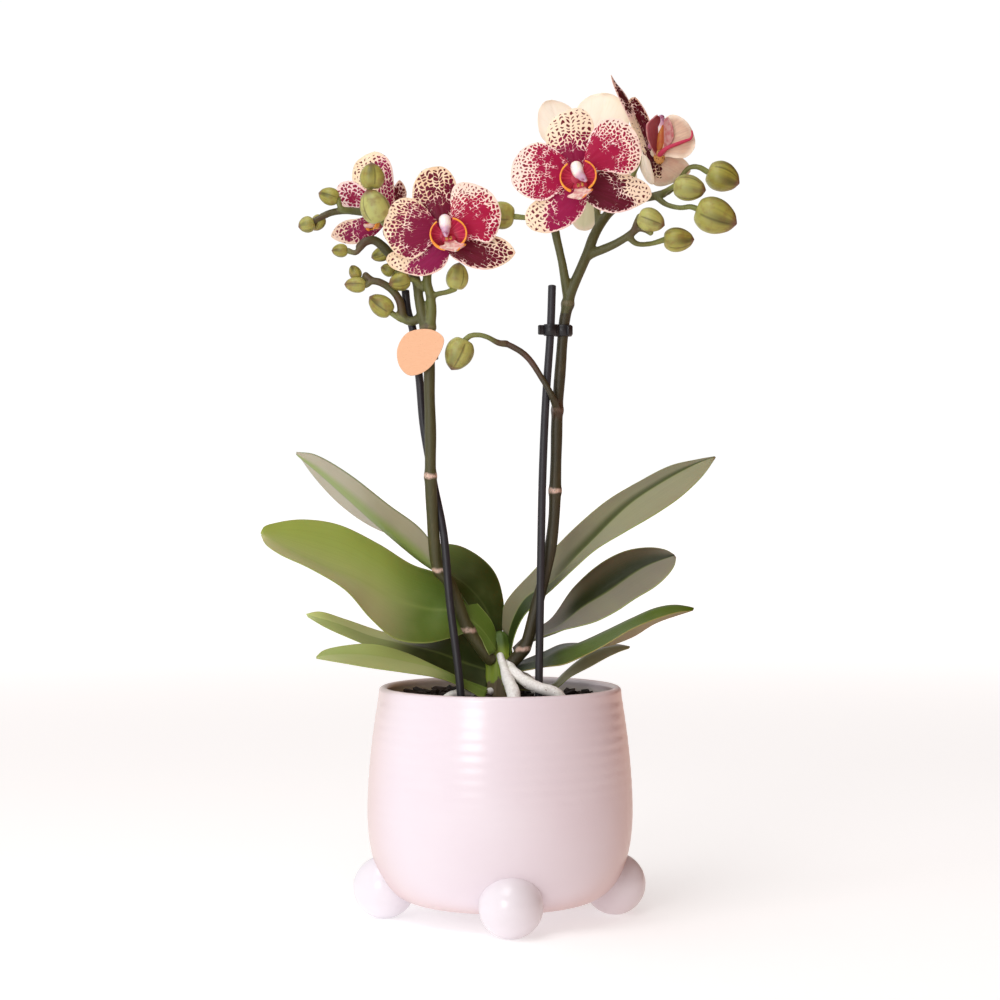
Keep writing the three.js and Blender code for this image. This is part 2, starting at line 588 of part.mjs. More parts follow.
const crown = crownSolid(0);
const crownRoom = crownSolid(SEAT_GAP);
const spikeLeftWhole = spike(leftRuns, leftStalks, leftRings, 0);
const spikeRightWhole = spike(rightRuns, rightStalks, rightRings, 0);
const spikeLeftRoom = spike(leftRuns, leftStalks, leftRings, SEAT_GAP);
const spikeRightRoom = spike(rightRuns, rightStalks, rightRings, SEAT_GAP);
const stakeRooms = [stakeLeft(SEAT_GAP), stakeRight(SEAT_GAP)];
const rootNames = Object.keys(rootPaths);
const rootRooms = rootNames.map((name) => root(name, SEAT_GAP));
const spikeLeft = carved(spikeLeftWhole, [crownRoom, ...stakeRooms]);
const spikeRight = carved(spikeRightWhole, [crownRoom, ...stakeRooms]);

// Bark: it fills the pot, with chips on top and plain holes for what stands in it
const barkProfile = [new THREE.Vector2(0, BARK_TOP_Z)];
barkProfile.push(new THREE.Vector2(52.6, BARK_TOP_Z));
potRoomProfile.slice(1).forEach((p) => barkProfile.push(p));
const barkFill = turned(barkProfile.reverse(), POT_SIDES);
const chips = [];
for (let i = 0; i < 8; i += 1) {
  const turn = i * 2.4;
  const out = 24 + 21 * Math.sqrt((i % 8) / 8);
  const chip = new THREE.BoxGeometry(11 - (i % 4) * 1.4, 7 - (i % 3), 3.4);
  chip.rotateX(0.28 * Math.sin(i * 1.9));
  chip.rotateY(0.24 * Math.cos(i * 2.7));
  chip.rotateZ(i * 1.3);
  chip.translate(out * Math.cos(turn), out * Math.sin(turn), BARK_TOP_Z - 0.4);
  chips.push(solidOf(chip));
}
const barkWhole = joined([solidOf(barkFill), ...chips]);

// Leaves, with the paths of the far margin, the midrib and the near margin
const leafShapes = {
  leaf_left_1: {
    far: [
      [1, 4, 134], [1.6, 9, 149], [-3.5, 13, 164], [-18.5, 14, 175], [-38, 13, 177], [-60.5, 16, 184],
      [-77.5, 19, 195.5], [-89, 16, 208], [-97, 10.5, 219.5],
    ],
    mid: [
      [-2, 1, 131], [-7.5, 2, 146], [-18, 3, 157.5], [-33, 3, 165.5], [-51.5, 4, 180], [-73.5, 6, 199.5],
      [-86, 8, 210.5], [-97.5, 10, 219.5],
    ],
    near: [
      [-4, -2, 131.5], [-13, -1, 144.5], [-23.5, -3, 160.5], [-36, -8, 182.5], [-52.5, -11, 195.5],
      [-72, -11, 210.5], [-87.5, -2, 219], [-97.5, 9, 220.5],
    ],
  },
  leaf_left_2: {
    far: [
      [-1.5, -2, 131.5], [-3.5, -1, 139], [-11.5, 1, 149], [-21, 5, 157.5], [-30, 8, 162.5],
      [-42, 9, 166.5], [-58, 6, 176.5], [-77, -2, 186], [-93.5, -12, 188.5], [-105, -20, 187],
      [-109.8, -24.5, 185.3], [-111, -27, 182.5],
    ],
    mid: [
      [-2, -6, 126], [-10, -5, 137], [-21, -5, 144.5], [-33, -6, 145.5], [-49, -10, 150],
      [-66.5, -16, 160], [-82, -21, 166.5], [-97.5, -25, 174], [-110.5, -27, 182],
    ],
    near: [
      [-5, -9, 124.5], [-12, -8, 135.5], [-22.5, -11, 133], [-35, -20, 131], [-48.5, -27, 133.5],
      [-59.5, -32, 143], [-71, -36, 156.5], [-87, -38, 166.5], [-101.5, -34, 173], [-108.4, -30.5, 177.6],
      [-110.8, -27, 181.6],
    ],
  },
  leaf_left_3: {
    far: [
      [-4, 3, 123], [-12, 6, 131.5], [-22, 7, 134.5], [-31, 7, 133], [-42, 7, 131.8], [-55.5, 4, 134.5],
      [-73.5, -2, 141], [-85.5, -8, 145], [-91.5, -10, 144],
    ],
    mid: [
      [-4, 0, 116], [-16, -1, 119.5], [-29, -3, 124.5], [-44.5, -6, 128.5], [-60.5, -9, 132.5],
      [-76, -11, 138.5], [-91, -10, 143.5],
    ],
    near: [
      [-7, -5, 107], [-19.5, -8, 111.5], [-35.5, -12, 119.5], [-50.5, -16, 125], [-67.5, -18, 132],
      [-82, -14, 138], [-90.5, -10, 142.5],
    ],
  },
  leaf_left_4: {
    far: [
      [-5.5, -6, 108.5], [-17.5, -10.5, 113.5], [-29.5, -15.5, 119.5], [-43, -19, 126],
      [-58, -21.5, 130.5], [-72, -22, 130], [-82.5, -21, 127.5], [-85.5, -23, 125],
    ],
    mid: [
      [-6.5, -9, 106.5], [-17.5, -12, 112.5], [-29, -17, 117.5], [-42.5, -21, 121.5], [-59.5, -24, 125],
      [-74, -25, 125.5], [-85.5, -23, 124.5],
    ],
    near: [
      [-7.5, -13, 104], [-18.5, -17, 110.5], [-29, -23, 115], [-43.5, -30, 118], [-59.5, -33, 120.5],
      [-74.5, -32, 123], [-85.5, -23, 124],
    ],
  },
  leaf_right_1: {
    sag: 3,
    sagEnd: 0.55,
    far: [
      [2.2, 5, 137], [2.4, 8, 149], [17, 11, 164.5], [26.7, 14, 174.7], [37.6, 16, 185.4],
      [52.2, 19, 197.4], [66.7, 21, 205.9], [82.5, 22, 213.9], [94.6, 20.5, 216.8], [103.5, 18, 218.5],
    ],
    mid: [
      [4, 1, 130], [6.5, 2, 140], [13, 3.5, 151], [25.3, 5, 158.2], [37.2, 7, 170.2], [45.6, 8.5, 178.5],
      [55.1, 10, 188], [64.6, 11.5, 196.4], [81.3, 14.5, 207.1], [94, 17, 213.8], [104, 18, 218.2],
    ],
    near: [
      [5, -4, 124], [6.8, -4.5, 133], [11.5, -5, 143], [22, -4.5, 153.2], [33.4, -4, 163.6],
      [45.2, -3.5, 174], [59.4, -2, 182.5], [73.6, 1, 190.6], [86.3, 6, 199], [97.2, 12, 209],
      [104, 18, 217.7],
    ],
  },
  leaf_right_2: {
    sag: 2,
    sagEnd: 0.5,
    far: [
      [6, 5, 127], [14.5, 8, 134.5], [24, 11, 140], [35.5, 13, 155.5], [48.5, 13, 167], [60.5, 12, 173],
      [72, 10, 174.7], [79.5, 7, 173.6], [83.2, 5, 171.5],
    ],
    mid: [
      [7, 3, 124.5], [14.5, 3, 132], [27, 3, 136], [40, 4, 146], [51.5, 5, 153], [68.5, 6, 164.5],
      [83.6, 4.5, 170.8],
    ],
    near: [
      [8, -4, 121], [14.5, -6, 130.5], [21.5, -7.5, 133.6], [28.5, -8.5, 136], [38, -9, 138.3],
      [45, -9, 140.3], [54.5, -9, 145], [63.9, -8.5, 151.2], [73.3, -6.5, 156.7], [79.4, -4, 162],
      [82.8, -0.5, 166.4], [84, 4, 170.2],
    ],
  },
  leaf_right_3: {
    far: [
      [7, 3, 119.5], [21, 6, 125], [29.5, 7, 128.5], [38.5, 6, 129], [48.5, 4, 127.5], [62.5, 2, 132],
      [74, 0, 139], [91, -8, 145.5],
    ],
    mid: [
      [7, -1, 118], [20.5, -1, 121.5], [28, -2, 125.5], [39.5, -4, 130], [51, -6, 135.5], [62, -8, 141],
      [73.5, -9, 146], [82, -9, 147.5], [91.5, -8, 146.5],
    ],
    near: [
      [7, -6, 116], [20.5, -11, 119], [29.5, -15, 120.5], [37.5, -18, 124], [48, -20, 129.5],
      [61.5, -20, 137.5], [72.5, -18, 142], [83.5, -14, 145], [91, -9, 145.5],
    ],
  },
  leaf_right_4: {
    far: [
      [6.5, 6, 112.5], [17, 10, 110.5], [25, 12, 109], [30, 15, 113.5], [38, 18, 120], [48.5, 20, 126],
      [56, 19, 127.5], [62.5, 14, 127],
    ],
    mid: [
      [6.5, 2, 110], [17, 5, 109], [25.5, 8, 108.5], [34, 9, 116.5], [43.5, 10, 123], [53, 12, 126],
      [62.5, 14, 126.5],
    ],
    near: [
      [6.5, -2, 107.5], [17, 2, 107], [26.5, 5, 107.5], [33.5, 4, 113], [43, 4, 118], [51.5, 6, 122.5],
      [58, 10, 125], [62, 13, 126],
    ],
  },
};

// Each leaf gives way to the leaf after it in this order
const leafOrder = [
  'leaf_right_4', 'leaf_right_3', 'leaf_right_2', 'leaf_right_1',
  'leaf_left_4', 'leaf_left_3', 'leaf_left_1', 'leaf_left_2',
];
const leaves = {};
const leafRooms = {};
leafOrder.forEach((name) => {
  leafRooms[name] = leaf(leafShapes[name], SEAT_GAP + 0.1);
});
leafOrder.forEach((name, index) => {
  const later = leafOrder.slice(index + 1).map((other) => leafRooms[other]);
  leaves[name] = carved(leaf(leafShapes[name]), [
    crownRoom, spikeLeftRoom, spikeRightRoom, ...stakeRooms, ...rootRooms, ...later,
  ]);
});

// Flowers
const flowerPlans = {
  left_front: {
    centre: [-25.3, -24, 323.9],
    face: [0.02, -1, 0.02],
    up: [-0.1, 0, 1],
    cup: [-1, -3.7],
    lean: -0.3,
    ears: [[-72, 54], [-68, 70]],
    tepals: [
      {
        left: [
          [-1, 1.3], [-4.2, 4.6], [-7.2, 8.1], [-10.9, 11.3], [-14.2, 13.9], [-15.2, 17.1], [-14.9, 19.9],
          [-13.8, 22.7], [-12.4, 25.1], [-10.8, 26.8], [-9.1, 27.7], [-7.5, 27.6],
        ],
        right: [
          [1.1, 1.3], [3, 5.5], [4.3, 10.2], [5, 14.8], [5.1, 19], [4.6, 21.8], [3.5, 24.1], [2, 26.3],
          [0, 28], [-2.1, 28.8], [-4.2, 28.7], [-5.7, 27.8],
        ],
        tip: [-6.6, 27.1],
      },
      {
        petal: true,
        left: [
          [1.6, 1.8], [2.4, 7.4], [2.4, 12], [2.8, 16.2], [3.9, 19.2], [6, 20.7], [9, 21.2], [12.5, 20.7],
          [15.8, 19.6], [19, 18.1], [21.8, 15.8], [23.9, 12.7], [25.2, 9.5],
        ],
        right: [
          [1.8, -1], [5.5, -3.5], [9.3, -5.1], [12.8, -5.4], [15.5, -5.7], [17.6, -6.5], [19.7, -6.7],
          [21.3, -5.9], [23, -3.8], [24.4, -1], [25.4, 2.5],
        ],
        tip: [25.7, 6.2],
      },
      {
        petal: true,
        left: [
          [-1.9, -1.2], [-4.2, -4.2], [-6.5, -7.7], [-9.3, -10.5], [-12.6, -13.1], [-15.8, -14.3],
          [-19.1, -13.9], [-21.9, -12.5], [-24.2, -10.5], [-26.1, -7.9], [-27.4, -5.2], [-28.4, -2.8],
        ],
        right: [
          [-1.9, 1.1], [-5.1, 4.6], [-7.9, 8.1], [-11.2, 11.3], [-14.4, 13.2], [-17.5, 14], [-20.5, 13.8],
          [-23, 12.5], [-25.1, 10.4], [-26.7, 7.6], [-27.9, 4.6], [-28.5, 2],
        ],
        tip: [-28.7, -0.5],
      },
      {
        left: [
          [-2.4, -2.8], [-7, -6.6], [-12.1, -9.1], [-17.2, -10], [-21.9, -10.3], [-25.4, -11.2],
          [-27, -12.8],
        ],
        right: [
          [1.1, -4.2], [1.8, -8.4], [1.6, -12.1], [0.7, -15.4], [-1.4, -18.2], [-4.7, -20.3],
          [-8.4, -21.6], [-12.6, -22], [-16.8, -21.2], [-20.9, -19.9], [-24.2, -18.6], [-26.3, -16.8],
        ],
        tip: [-27.4, -14.7],
      },
      {
        tipY: 2,
        left: [
          [3.2, -2.4], [7.4, -4.7], [12.1, -5.3], [16.7, -4.9], [20.4, -4.1], [23.2, -3.7], [26, -4.3],
          [28.8, -6], [30.9, -8.2],
        ],
        right: [
          [0.7, -4.2], [0.7, -8.4], [1.8, -11.7], [4.2, -14], [7.4, -15.8], [10.7, -17.5], [14.4, -18.5],
          [18.1, -18.9], [21.3, -18.6], [24.6, -17.6], [27.9, -15.9], [30.6, -13.8],
        ],
        tip: [32.3, -11],
      },
    ],
  },
  right_front: {
    centre: [36, -24, 348.5],
    face: [0, -1, 0.02],
    up: [-0.28, 0, 1],
    cup: [0.5, -1.6],
    lean: 0.26,
    sway: -2.4,
    ears: [[-50, 66], [-66, 53]],
    tepals: [
      {
        left: [
          [-1.6, 2.3], [-4.2, 7], [-7.4, 10.5], [-10.9, 12.6], [-13.6, 14.7], [-14.7, 17.4], [-14.5, 20.4],
          [-13.3, 23.4], [-11.4, 26.3], [-8.8, 28.3], [-6, 29.6], [-4.2, 30.1],
        ],
        right: [
          [1.9, 3.3], [4, 7.4], [5.6, 12.1], [6.7, 16.7], [7.4, 20.7], [7.3, 23.9], [6.1, 27], [4.4, 29.3],
          [2.3, 30.8], [0.2, 31.4], [-1.6, 31.1],
        ],
        tip: [-2.9, 30.4],
      },
      {
        petal: true,
        left: [
          [2.1, 3.7], [3.1, 8.4], [4, 12.5], [5, 16], [6.3, 19.3], [8.1, 22.2], [10.2, 24.4], [13, 25.8],
          [16.3, 26.3], [19.5, 25.7], [22.8, 23.9], [25.6, 21.1], [27.8, 17.7], [29.2, 13.9],
        ],
        right: [
          [2.6, 1.9], [6.1, 2], [9.3, 2.2], [12.6, 1.9], [15.8, 1.3], [18.8, 0.6], [21.9, 0.2],
          [24.6, 0.8], [27, 2.6], [28.6, 5.3], [29.3, 8.1],
        ],
        tip: [29.5, 10.9],
      },
      {
        petal: true,
        left: [
          [-1.8, -1.4], [-4.2, -4.2], [-7.4, -6.7], [-10.2, -9.1], [-13, -10.8], [-16.3, -11.8],
          [-19.5, -11.8], [-22.8, -10.7], [-25.8, -9.1], [-28.3, -7], [-30, -4.6], [-30.7, -2.3],
        ],
        right: [
          [-2.1, 2.8], [-5.1, 7.1], [-8.4, 10.3], [-11.6, 12.5], [-14.4, 14.1], [-17.6, 15], [-20.9, 14.6],
          [-23.9, 13.2], [-26.5, 11.2], [-28.6, 8.4], [-30.1, 5.5], [-30.7, 2.8],
        ],
        tip: [-30.9, 0.1],
      },
      {
        left: [
          [-2.3, -4.6], [-5.6, -7.4], [-9.3, -9.5], [-13, -10.2], [-16.7, -10.9], [-20, -12.3],
          [-22.5, -14.4], [-24, -17.2], [-24.3, -20],
        ],
        right: [
          [2.8, -5.1], [4, -8.4], [4.2, -11.6], [3.5, -14.9], [1.9, -18.1], [-0.5, -20.7], [-3.5, -23],
          [-7, -24.8], [-10.7, -26], [-14.4, -26.7], [-18.1, -26.2], [-21.4, -24.9],
        ],
        tip: [-23.5, -22.7],
      },
      {
        tipY: 3,
        left: [
          [2.3, -1.4], [6.1, -0.2], [9.5, 0.5], [13, 0.8], [16.3, 0.6], [19.5, 0], [22.8, 0], [26, -0.5],
          [29.3, -1.7], [32.1, -3.6], [33.9, -5.9],
        ],
        right: [
          [0.9, -3.7], [1.9, -7.4], [3.7, -10.7], [6.1, -13.2], [9.3, -15.3], [12.6, -16.5], [16.3, -17.3],
          [20, -16.9], [23.7, -15.9], [27, -14.5], [30, -12.9], [32.8, -11.2],
        ],
        tip: [34.4, -8.8],
      },
    ],
  },
  right_side: {
    centre: [70.2, 3, 362.5],
    face: [0.82, -0.42, 0.4],
    up: [-0.4, 0, 0.9],
    tepals: [
      {
        y: [0, 2, 5], bow: 0.5,
        left: [[-1.4, -0.1], [-6, 8], [-9.4, 16.1], [-12.6, 22.8], [-15.4, 29.2], [-17, 33.7]],
        right: [[0, 0.9], [-1.9, 8.5], [-4.7, 17.3], [-7.6, 24], [-10.7, 29.6], [-14.5, 34]],
        tip: [-17.3, 37.3],
      },
      {
        petal: true, y: [1, 8, 2], bow: 0,
        left: [[-0.9, 1.3], [-4, 8], [-6.1, 13.7], [-8, 19.4], [-8.9, 24], [-8, 26.8]],
        right: [[2.7, 2.3], [3.1, 6.6], [2.8, 11.3], [1.5, 16.1], [-0.4, 21.1], [-2.8, 25.1]],
        tip: [-5.7, 27.8],
      },
      {
        petal: true, y: [0, -1, -2], bow: 3.5,
        left: [
          [1, 0.9], [3.9, 7], [6, 12.5], [8.1, 16.3], [11, 18.1], [14.3, 17.5], [17.7, 15.4], [20.2, 12.3],
          [21.8, 8.7],
        ],
        right: [[2, -1.5], [5.8, -1.8], [9.8, -2.2], [13.9, -3], [17.7, -2.6], [20.5, -0.4], [22, 2.3]],
        tip: [22.2, 5.4],
      },
      {
        y: [2.5, 4.5, 1], bow: 2.5,
        left: [[2, -0.6], [5.3, 0], [9.6, 0], [13.9, -0.9], [17.7, -3], [20.1, -5.7]],
        right: [
          [1, -2.5], [0.8, -6.8], [1.5, -11.1], [3.4, -14.7], [6.7, -15.3], [11, -14.2], [15.3, -12.2],
          [18.6, -10.4],
        ],
        tip: [20.5, -8.2],
      },
      {
        y: [1, 2, -1.5], bow: 1.5,
        left: [[-1.4, 0.4], [-3.5, -3], [-3.5, -7.2], [-1.9, -11.2], [0.5, -13.6]],
        right: [[0.3, 0.4], [1, -3.4], [1.9, -7.2], [2.8, -10.6], [3.2, -13]],
        tip: [2.4, -14.5],
      },
      {
        y: [-0.2, 1.5, 0.5], bow: 0.3,
        left: [[-2.6, 3], [-1.4, -3], [0.6, -8]],
        right: [[3.8, 3], [7, -2.4], [8.8, -6.6]],
        tip: [6.2, -11.6],
      },
    ],
    lobes: [
      {
        y: [-2.4, -5.2, 1.5],
        left: [[3.6, -1.5], [1.6, 1.8], [-0.2, 6.1], [-0.9, 10.4], [-0.7, 13], [1, 14.7]],
        right: [[5.2, -1.5], [4.6, 2.3], [5, 6.6], [5.8, 10.9], [6.5, 14.9]],
        tip: [4.3, 17],
      },
      {
        y: [-2.4, -5.2, -1.5],
        left: [[5.6, -1.5], [6.9, 2.6], [7, 7.5], [7.1, 11.8], [7.7, 14.9]],
        right: [[7.4, -1.5], [9.9, 2.8], [11.7, 6.6], [11.5, 10.9], [10.3, 14.2]],
        tip: [8.9, 15.9],
      },
    ],
    callus: [5.4, -2.2, -2.2],
    tongue: [
      [5.2, -2.6, -1.6], [7.4, -5, 0.6], [9.6, -5.6, 2], [13.4, -6, 3.5], [17.2, -6, 4.9], [20, -5.6, 6.1],
      [20.8, -5.2, 8.5], [20.6, -5, 9.9],
    ],
    column: [[1.5, -0.4, 3], [4, -1.6, 9], [6, -2.4, 14], [6.3, -2.6, 16.6]],
  },
  right_back: {
    centre: [41, 11, 361.7],
    face: [0.1, 0.97, 0.2],
    up: [0, 0, -1],
    tepals: [
      {
        y: [2, 1, 1], bow: -1,
        left: [[-5.3, 1.8], [-13.9, 4.2], [-21.1, 10], [-22.8, 16.7], [-22.3, 22.9], [-19.7, 26.5]],
        right: [[2.4, 3.7], [0.5, 12.4], [-3.4, 20.1], [-8.2, 25.1], [-12.5, 27]],
        tip: [-16.1, 27.4],
      },
      {
        y: [2, 1, -1], bow: -1,
        left: [[-2.4, 2.8], [-5.5, 10.9], [-5.8, 19.6], [-2.4, 26.3], [1.9, 29.6], [4.8, 30.5]],
        right: [
          [5.3, 2.3], [13.4, 5.7], [19.2, 11.9], [20.9, 19.6], [18.7, 25.8], [14.4, 29.4], [11, 30.5],
        ],
        tip: [7.9, 30.8],
      },
      {
        y: [2, 2, 0], bow: -1,
        left: [[-3.4, -2], [-6.7, -12.6], [-8.2, -22.6], [-6.7, -30.3], [-3.8, -34]],
        right: [[3.4, -2], [6.2, -12.6], [7.7, -22.6], [6, -30.3], [2.9, -34]],
        tip: [-0.5, -34.8],
      },
      {
        petal: true, y: [2, 1, 0], bow: -1,
        left: [[1.5, 3], [9, 5.5], [17, 3.5], [22.5, -3]],
        right: [[-1.5, -3], [3, -11], [11, -16], [19, -15.5]],
        tip: [24.5, -10],
      },
      {
        petal: true, y: [2, 1, 0], bow: -1,
        left: [[1, -3], [-5, -11], [-13, -14.5], [-21, -13]],
        right: [[-1, 3], [-8, 7], [-17, 5.5], [-23.5, 0]],
        tip: [-26, -6],
      },
    ],
  },
  left_back: {
    centre: [-52.6, 2, 333.7],
    face: [-0.88, -0.46, 0.05],
    up: [0, 0, 1],
    cup: [0, -1.5],
    raise: 6,
    ears: [[-70, 40], [-70, 40]],
    tepals: [
      {
        y: [0, 3, -2],
        left: [[-4.3, 1], [-11.9, 7.2], [-16.7, 13.4], [-17.8, 19.1], [-15.7, 25.3]],
        right: [[3.3, 0.5], [2.6, 8.6], [2.1, 14.8], [1.2, 21.9], [-1.4, 26.9]],
        tip: [-7.1, 29.6],
      },
      {
        petal: true, y: [-1, 1, 0],
        left: [[-1, 3.9], [-10.9, 11], [-17.6, 15.3], [-22.8, 14.6]],
        right: [[-1, -1.4], [-10, 0], [-17.6, 2], [-23.3, 4.1]],
        tip: [-25.9, 9.6],
      },
      {
        y: [0, 1, 0],
        left: [[-0.5, 3.4], [-7.1, 0], [-14.8, -2.3], [-20.9, -3.3], [-25.2, -6.1]],
        right: [[3.3, 1.5], [-1.9, -4.7], [-6.2, -9.5], [-13.3, -13.8], [-20.9, -14.1]],
        tip: [-27.6, -10.7],
      },
      {
        petal: true, y: [1, 5, 2],
        left: [[0.5, 4.8], [1.9, 10], [3.1, 14.3]],
        right: [[5.2, 4.3], [7.9, 8.6], [7.1, 13.4]],
        tip: [4.8, 16.2],
      },
      {
        y: [1, 4, 1],
        left: [[-1.5, -2], [-3, -9], [1, -15]],
        right: [[2.5, -1], [9.5, -6], [12, -12.5]],
        tip: [8.5, -18],
      },
    ],
  },
};
const flowers = {};
Object.entries(flowerPlans).forEach(([name, plan]) => {
  flowers[name] = flower(plan);
});

// Buds: base, tip and width
const budShapes = {
  bud_01: [[98.7, 4, 353.8], [114, 4, 348.2], 14.6],
  bud_02: [[92.8, -4, 335.4], [111.8, -6, 327.9], 17.2],
  bud_03: [[82.3, -3, 346.2], [97.2, -6, 343.8], 12.5],
  bud_04: [[64.8, -17, 330.6], [76.8, -19, 325.8], 11.2],
  bud_05: [[76.8, -12, 320], [91.2, -12, 320], 11.6],
  bud_06: [[-16.4, -16, 273], [-22.8, -16, 258.6], 13.4],
  bud_07: [[-59.7, -20, 342.7], [-59.7, -20, 355], 11.6],
  bud_08: [[-55.2, -22, 327.3], [-61.7, -25, 341.8], 13.8],
  bud_09: [[-75.6, -14, 338.6], [-85, -14, 341.6], 8.4],
  bud_10: [[-87, -15, 327.7], [-94.3, -16, 325.4], 7.8],
  bud_11: [[-83.6, -11.5, 331.2], [-87.4, -10, 324.4], 6.8],
  bud_12: [[-71, -20, 314], [-78.5, -20, 314], 6.4],
  bud_13: [[-52, -12, 314.5], [-60.5, -11, 311.5], 6.9],
  bud_14: [[-49.5, -12, 304.5], [-56, -12, 307], 6.4],
  bud_15: [[-42.2, -19, 301], [-51.7, -21, 298.4], 9],
  bud_16: [[-62.8, -17, 298], [-72.7, -18, 298.5], 7.4],
  bud_17: [[-66.4, -16, 301.3], [-69.6, -14, 307.7], 5.8],
  bud_18: [[-50.8, -14, 285.4], [-61.2, -14, 293.1], 10],
  bud_19: [[-21, -17, 296.2], [-19, -17, 308.8], 10.6],
  bud_20: [[6.7, -14, 330.5], [-7.8, -13, 332.5], 13],
};

// Clips and card
function clip(size, place, turn) {
  const box = new THREE.BoxGeometry(...size);
  box.rotateZ(turn);
  box.translate(...place);
  return solidOf(box);
}
const clipRight = carved(joined([
  clip([13, 8.6, 5.8], [27, -11.3, 277.4], 0.42),
  clip([4.4, 2.6, 4], [19.4, -14.8, 277.4], 0.42),
]), [spikeRightRoom, ...stakeRooms]);
const clipLeft = carved(clip([14.5, 8.4, 6], [-36.6, -14.6, 266], -0.62), [spikeLeftRoom, ...stakeRooms]);
const cardOutline = new THREE.SplineCurve([
  new THREE.Vector2(10.3, 5.9), new THREE.Vector2(7.4, 9.2), new THREE.Vector2(1.9, 10.8),
  new THREE.Vector2(-7, 8.8), new THREE.Vector2(-11.4, 1.6), new THREE.Vector2(-10.4, -6.6),
  new THREE.Vector2(-6, -10.8), new THREE.Vector2(0.6, -9.4), new THREE.Vector2(6.2, -4.2),
  new THREE.Vector2(10.3, 5.9),
]).getPoints(28).slice(0, -1);
const cardShape = new THREE.ExtrudeGeometry(new THREE.Shape(cardOutline.reverse()), {
  depth: CARD_THICKNESS, bevelEnabled: false,
});
cardShape.rotateX(Math.PI / 2);
cardShape.translate(-36.3, -22.3, 266.6);
const card = carved(solidOf(cardShape), [spikeLeftRoom]);

// The scene
addPiece('pot', pot, GLAZE);
const lowLeaves = [leafRooms.leaf_left_4, leafRooms.leaf_right_4];
addPiece('bark', carved(barkWhole, [crownRoom, ...stakeRooms, ...rootRooms, ...lowLeaves]), BARK);
addPiece('crown', carved(crown, rootRooms), CROWN);
rootNames.forEach((name, index) => {
  const others = rootRooms.filter((room, other) => other > index);
  addPiece(name, carved(root(name, 0), [...others, spikeLeftRoom, spikeRightRoom, ...stakeRooms]), ROOT);
});
Object.entries(leaves).forEach(([name, solid]) => {
  addPiece(name, solid, name.startsWith('leaf_left_') ? LEAF_PALE : LEAF);
});
addPiece('spike_left', spikeLeft, STEM);
addPiece('spike_right', spikeRight, STEM);
addPiece('stake_left', stakeLeft(0), STAKE);
addPiece('stake_right', stakeRight(0), STAKE);
addPiece('clip_left', clipLeft, CLIP);
addPiece('clip_right', clipRight, CLIP);
addPiece('tag', card, CARD);
Object.entries(flowers).forEach(([name, bloom]) => {
  const stemRooms = [spikeLeftRoom, spikeRightRoom];
  addPiece(`flower_${name}_tepals`, carved(bloom.tepals, [...stemRooms, bloom.columnRoom]), TEPAL);
  addPiece(`flower_${name}_lip`, carved(bloom.lip, [...stemRooms, bloom.columnRoom, bloom.tepalRoom]), LIP);
  addPiece(`flower_${name}_column`, carved(bloom.column, stemRooms), COLUMN);
});
Object.entries(budShapes).forEach(([name, [base, tip, width]]) => {
  addPiece(name, carved(bud(base, tip, width), [spikeLeftRoom, spikeRightRoom]), BUD);
});

export default plant;
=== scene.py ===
"""A moth orchid in a glazed pot on ball feet. Shapes are in millimetres, and the scene is in metres."""
import math

import bmesh
import bpy
import numpy as np
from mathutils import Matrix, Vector, kdtree


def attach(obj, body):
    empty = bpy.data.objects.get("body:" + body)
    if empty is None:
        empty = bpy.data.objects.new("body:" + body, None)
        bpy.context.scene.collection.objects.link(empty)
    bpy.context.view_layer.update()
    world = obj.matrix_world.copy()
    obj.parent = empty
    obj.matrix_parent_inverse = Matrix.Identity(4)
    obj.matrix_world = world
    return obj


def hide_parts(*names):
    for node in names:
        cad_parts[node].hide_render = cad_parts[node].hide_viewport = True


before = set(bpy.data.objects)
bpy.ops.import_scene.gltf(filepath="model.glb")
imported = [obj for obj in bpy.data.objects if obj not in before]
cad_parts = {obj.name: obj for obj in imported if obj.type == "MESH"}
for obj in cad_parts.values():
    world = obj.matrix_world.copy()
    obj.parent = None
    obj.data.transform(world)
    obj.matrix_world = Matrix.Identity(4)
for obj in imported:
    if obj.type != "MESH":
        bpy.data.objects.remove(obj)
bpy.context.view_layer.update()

MM = 0.001
FULL_TURN = 2 * math.pi


# Shapes

def running_length(line):
    """The length from the start of a line to each of its points."""
    return np.r_[0, np.cumsum(np.linalg.norm(np.diff(np.array(line, float), axis=0), axis=1))]


def smooth_path(points, count):
    """count evenly spaced points on the smooth curve through points."""
    p = np.array(points, float)
    ends = np.vstack([2 * p[0] - p[1], p, 2 * p[-1] - p[-2]])
    t = np.linspace(0, 1, 16, endpoint=False)[:, None]
    fine = []
    for i in range(len(p) - 1):
        a, b, c, d = ends[i:i + 4]
        d0, d1, d2 = [max(np.linalg.norm(r - q) ** 0.5, 1e-4) for q, r in ((a, b), (b, c), (c, d))]
        m1 = ((b - a) / d0 - (c - a) / (d0 + d1) + (c - b) / d1) * d1
        m2 = ((c - b) / d1 - (d - b) / (d1 + d2) + (d - c) / d2) * d1
        fine.append(b + m1 * t + (3 * (c - b) - 2 * m1 - m2) * t**2 + (2 * (b - c) + m1 + m2) * t**3)
    line = np.vstack(fine + [p[-1:]])
    run = running_length(line)
    at = np.linspace(0, run[-1], count)
    return np.column_stack([np.interp(at, run, line[:, k]) for k in range(3)])


def smooth_profile(points, count):
    """The same for points of two numbers, such as a distance from an axis and a height."""
    return smooth_path([(a, 0, b) for a, b in points], count)[:, [0, 2]]


def unit(v):
    v = np.asarray(v, float)
    return v / np.maximum(np.linalg.norm(v, axis=-1, keepdims=True), 1e-9)


def smoothstep(low, high, x):
    t = np.clip((x - low) / (high - low), 0, 1)
    return t * t * (3 - 2 * t)


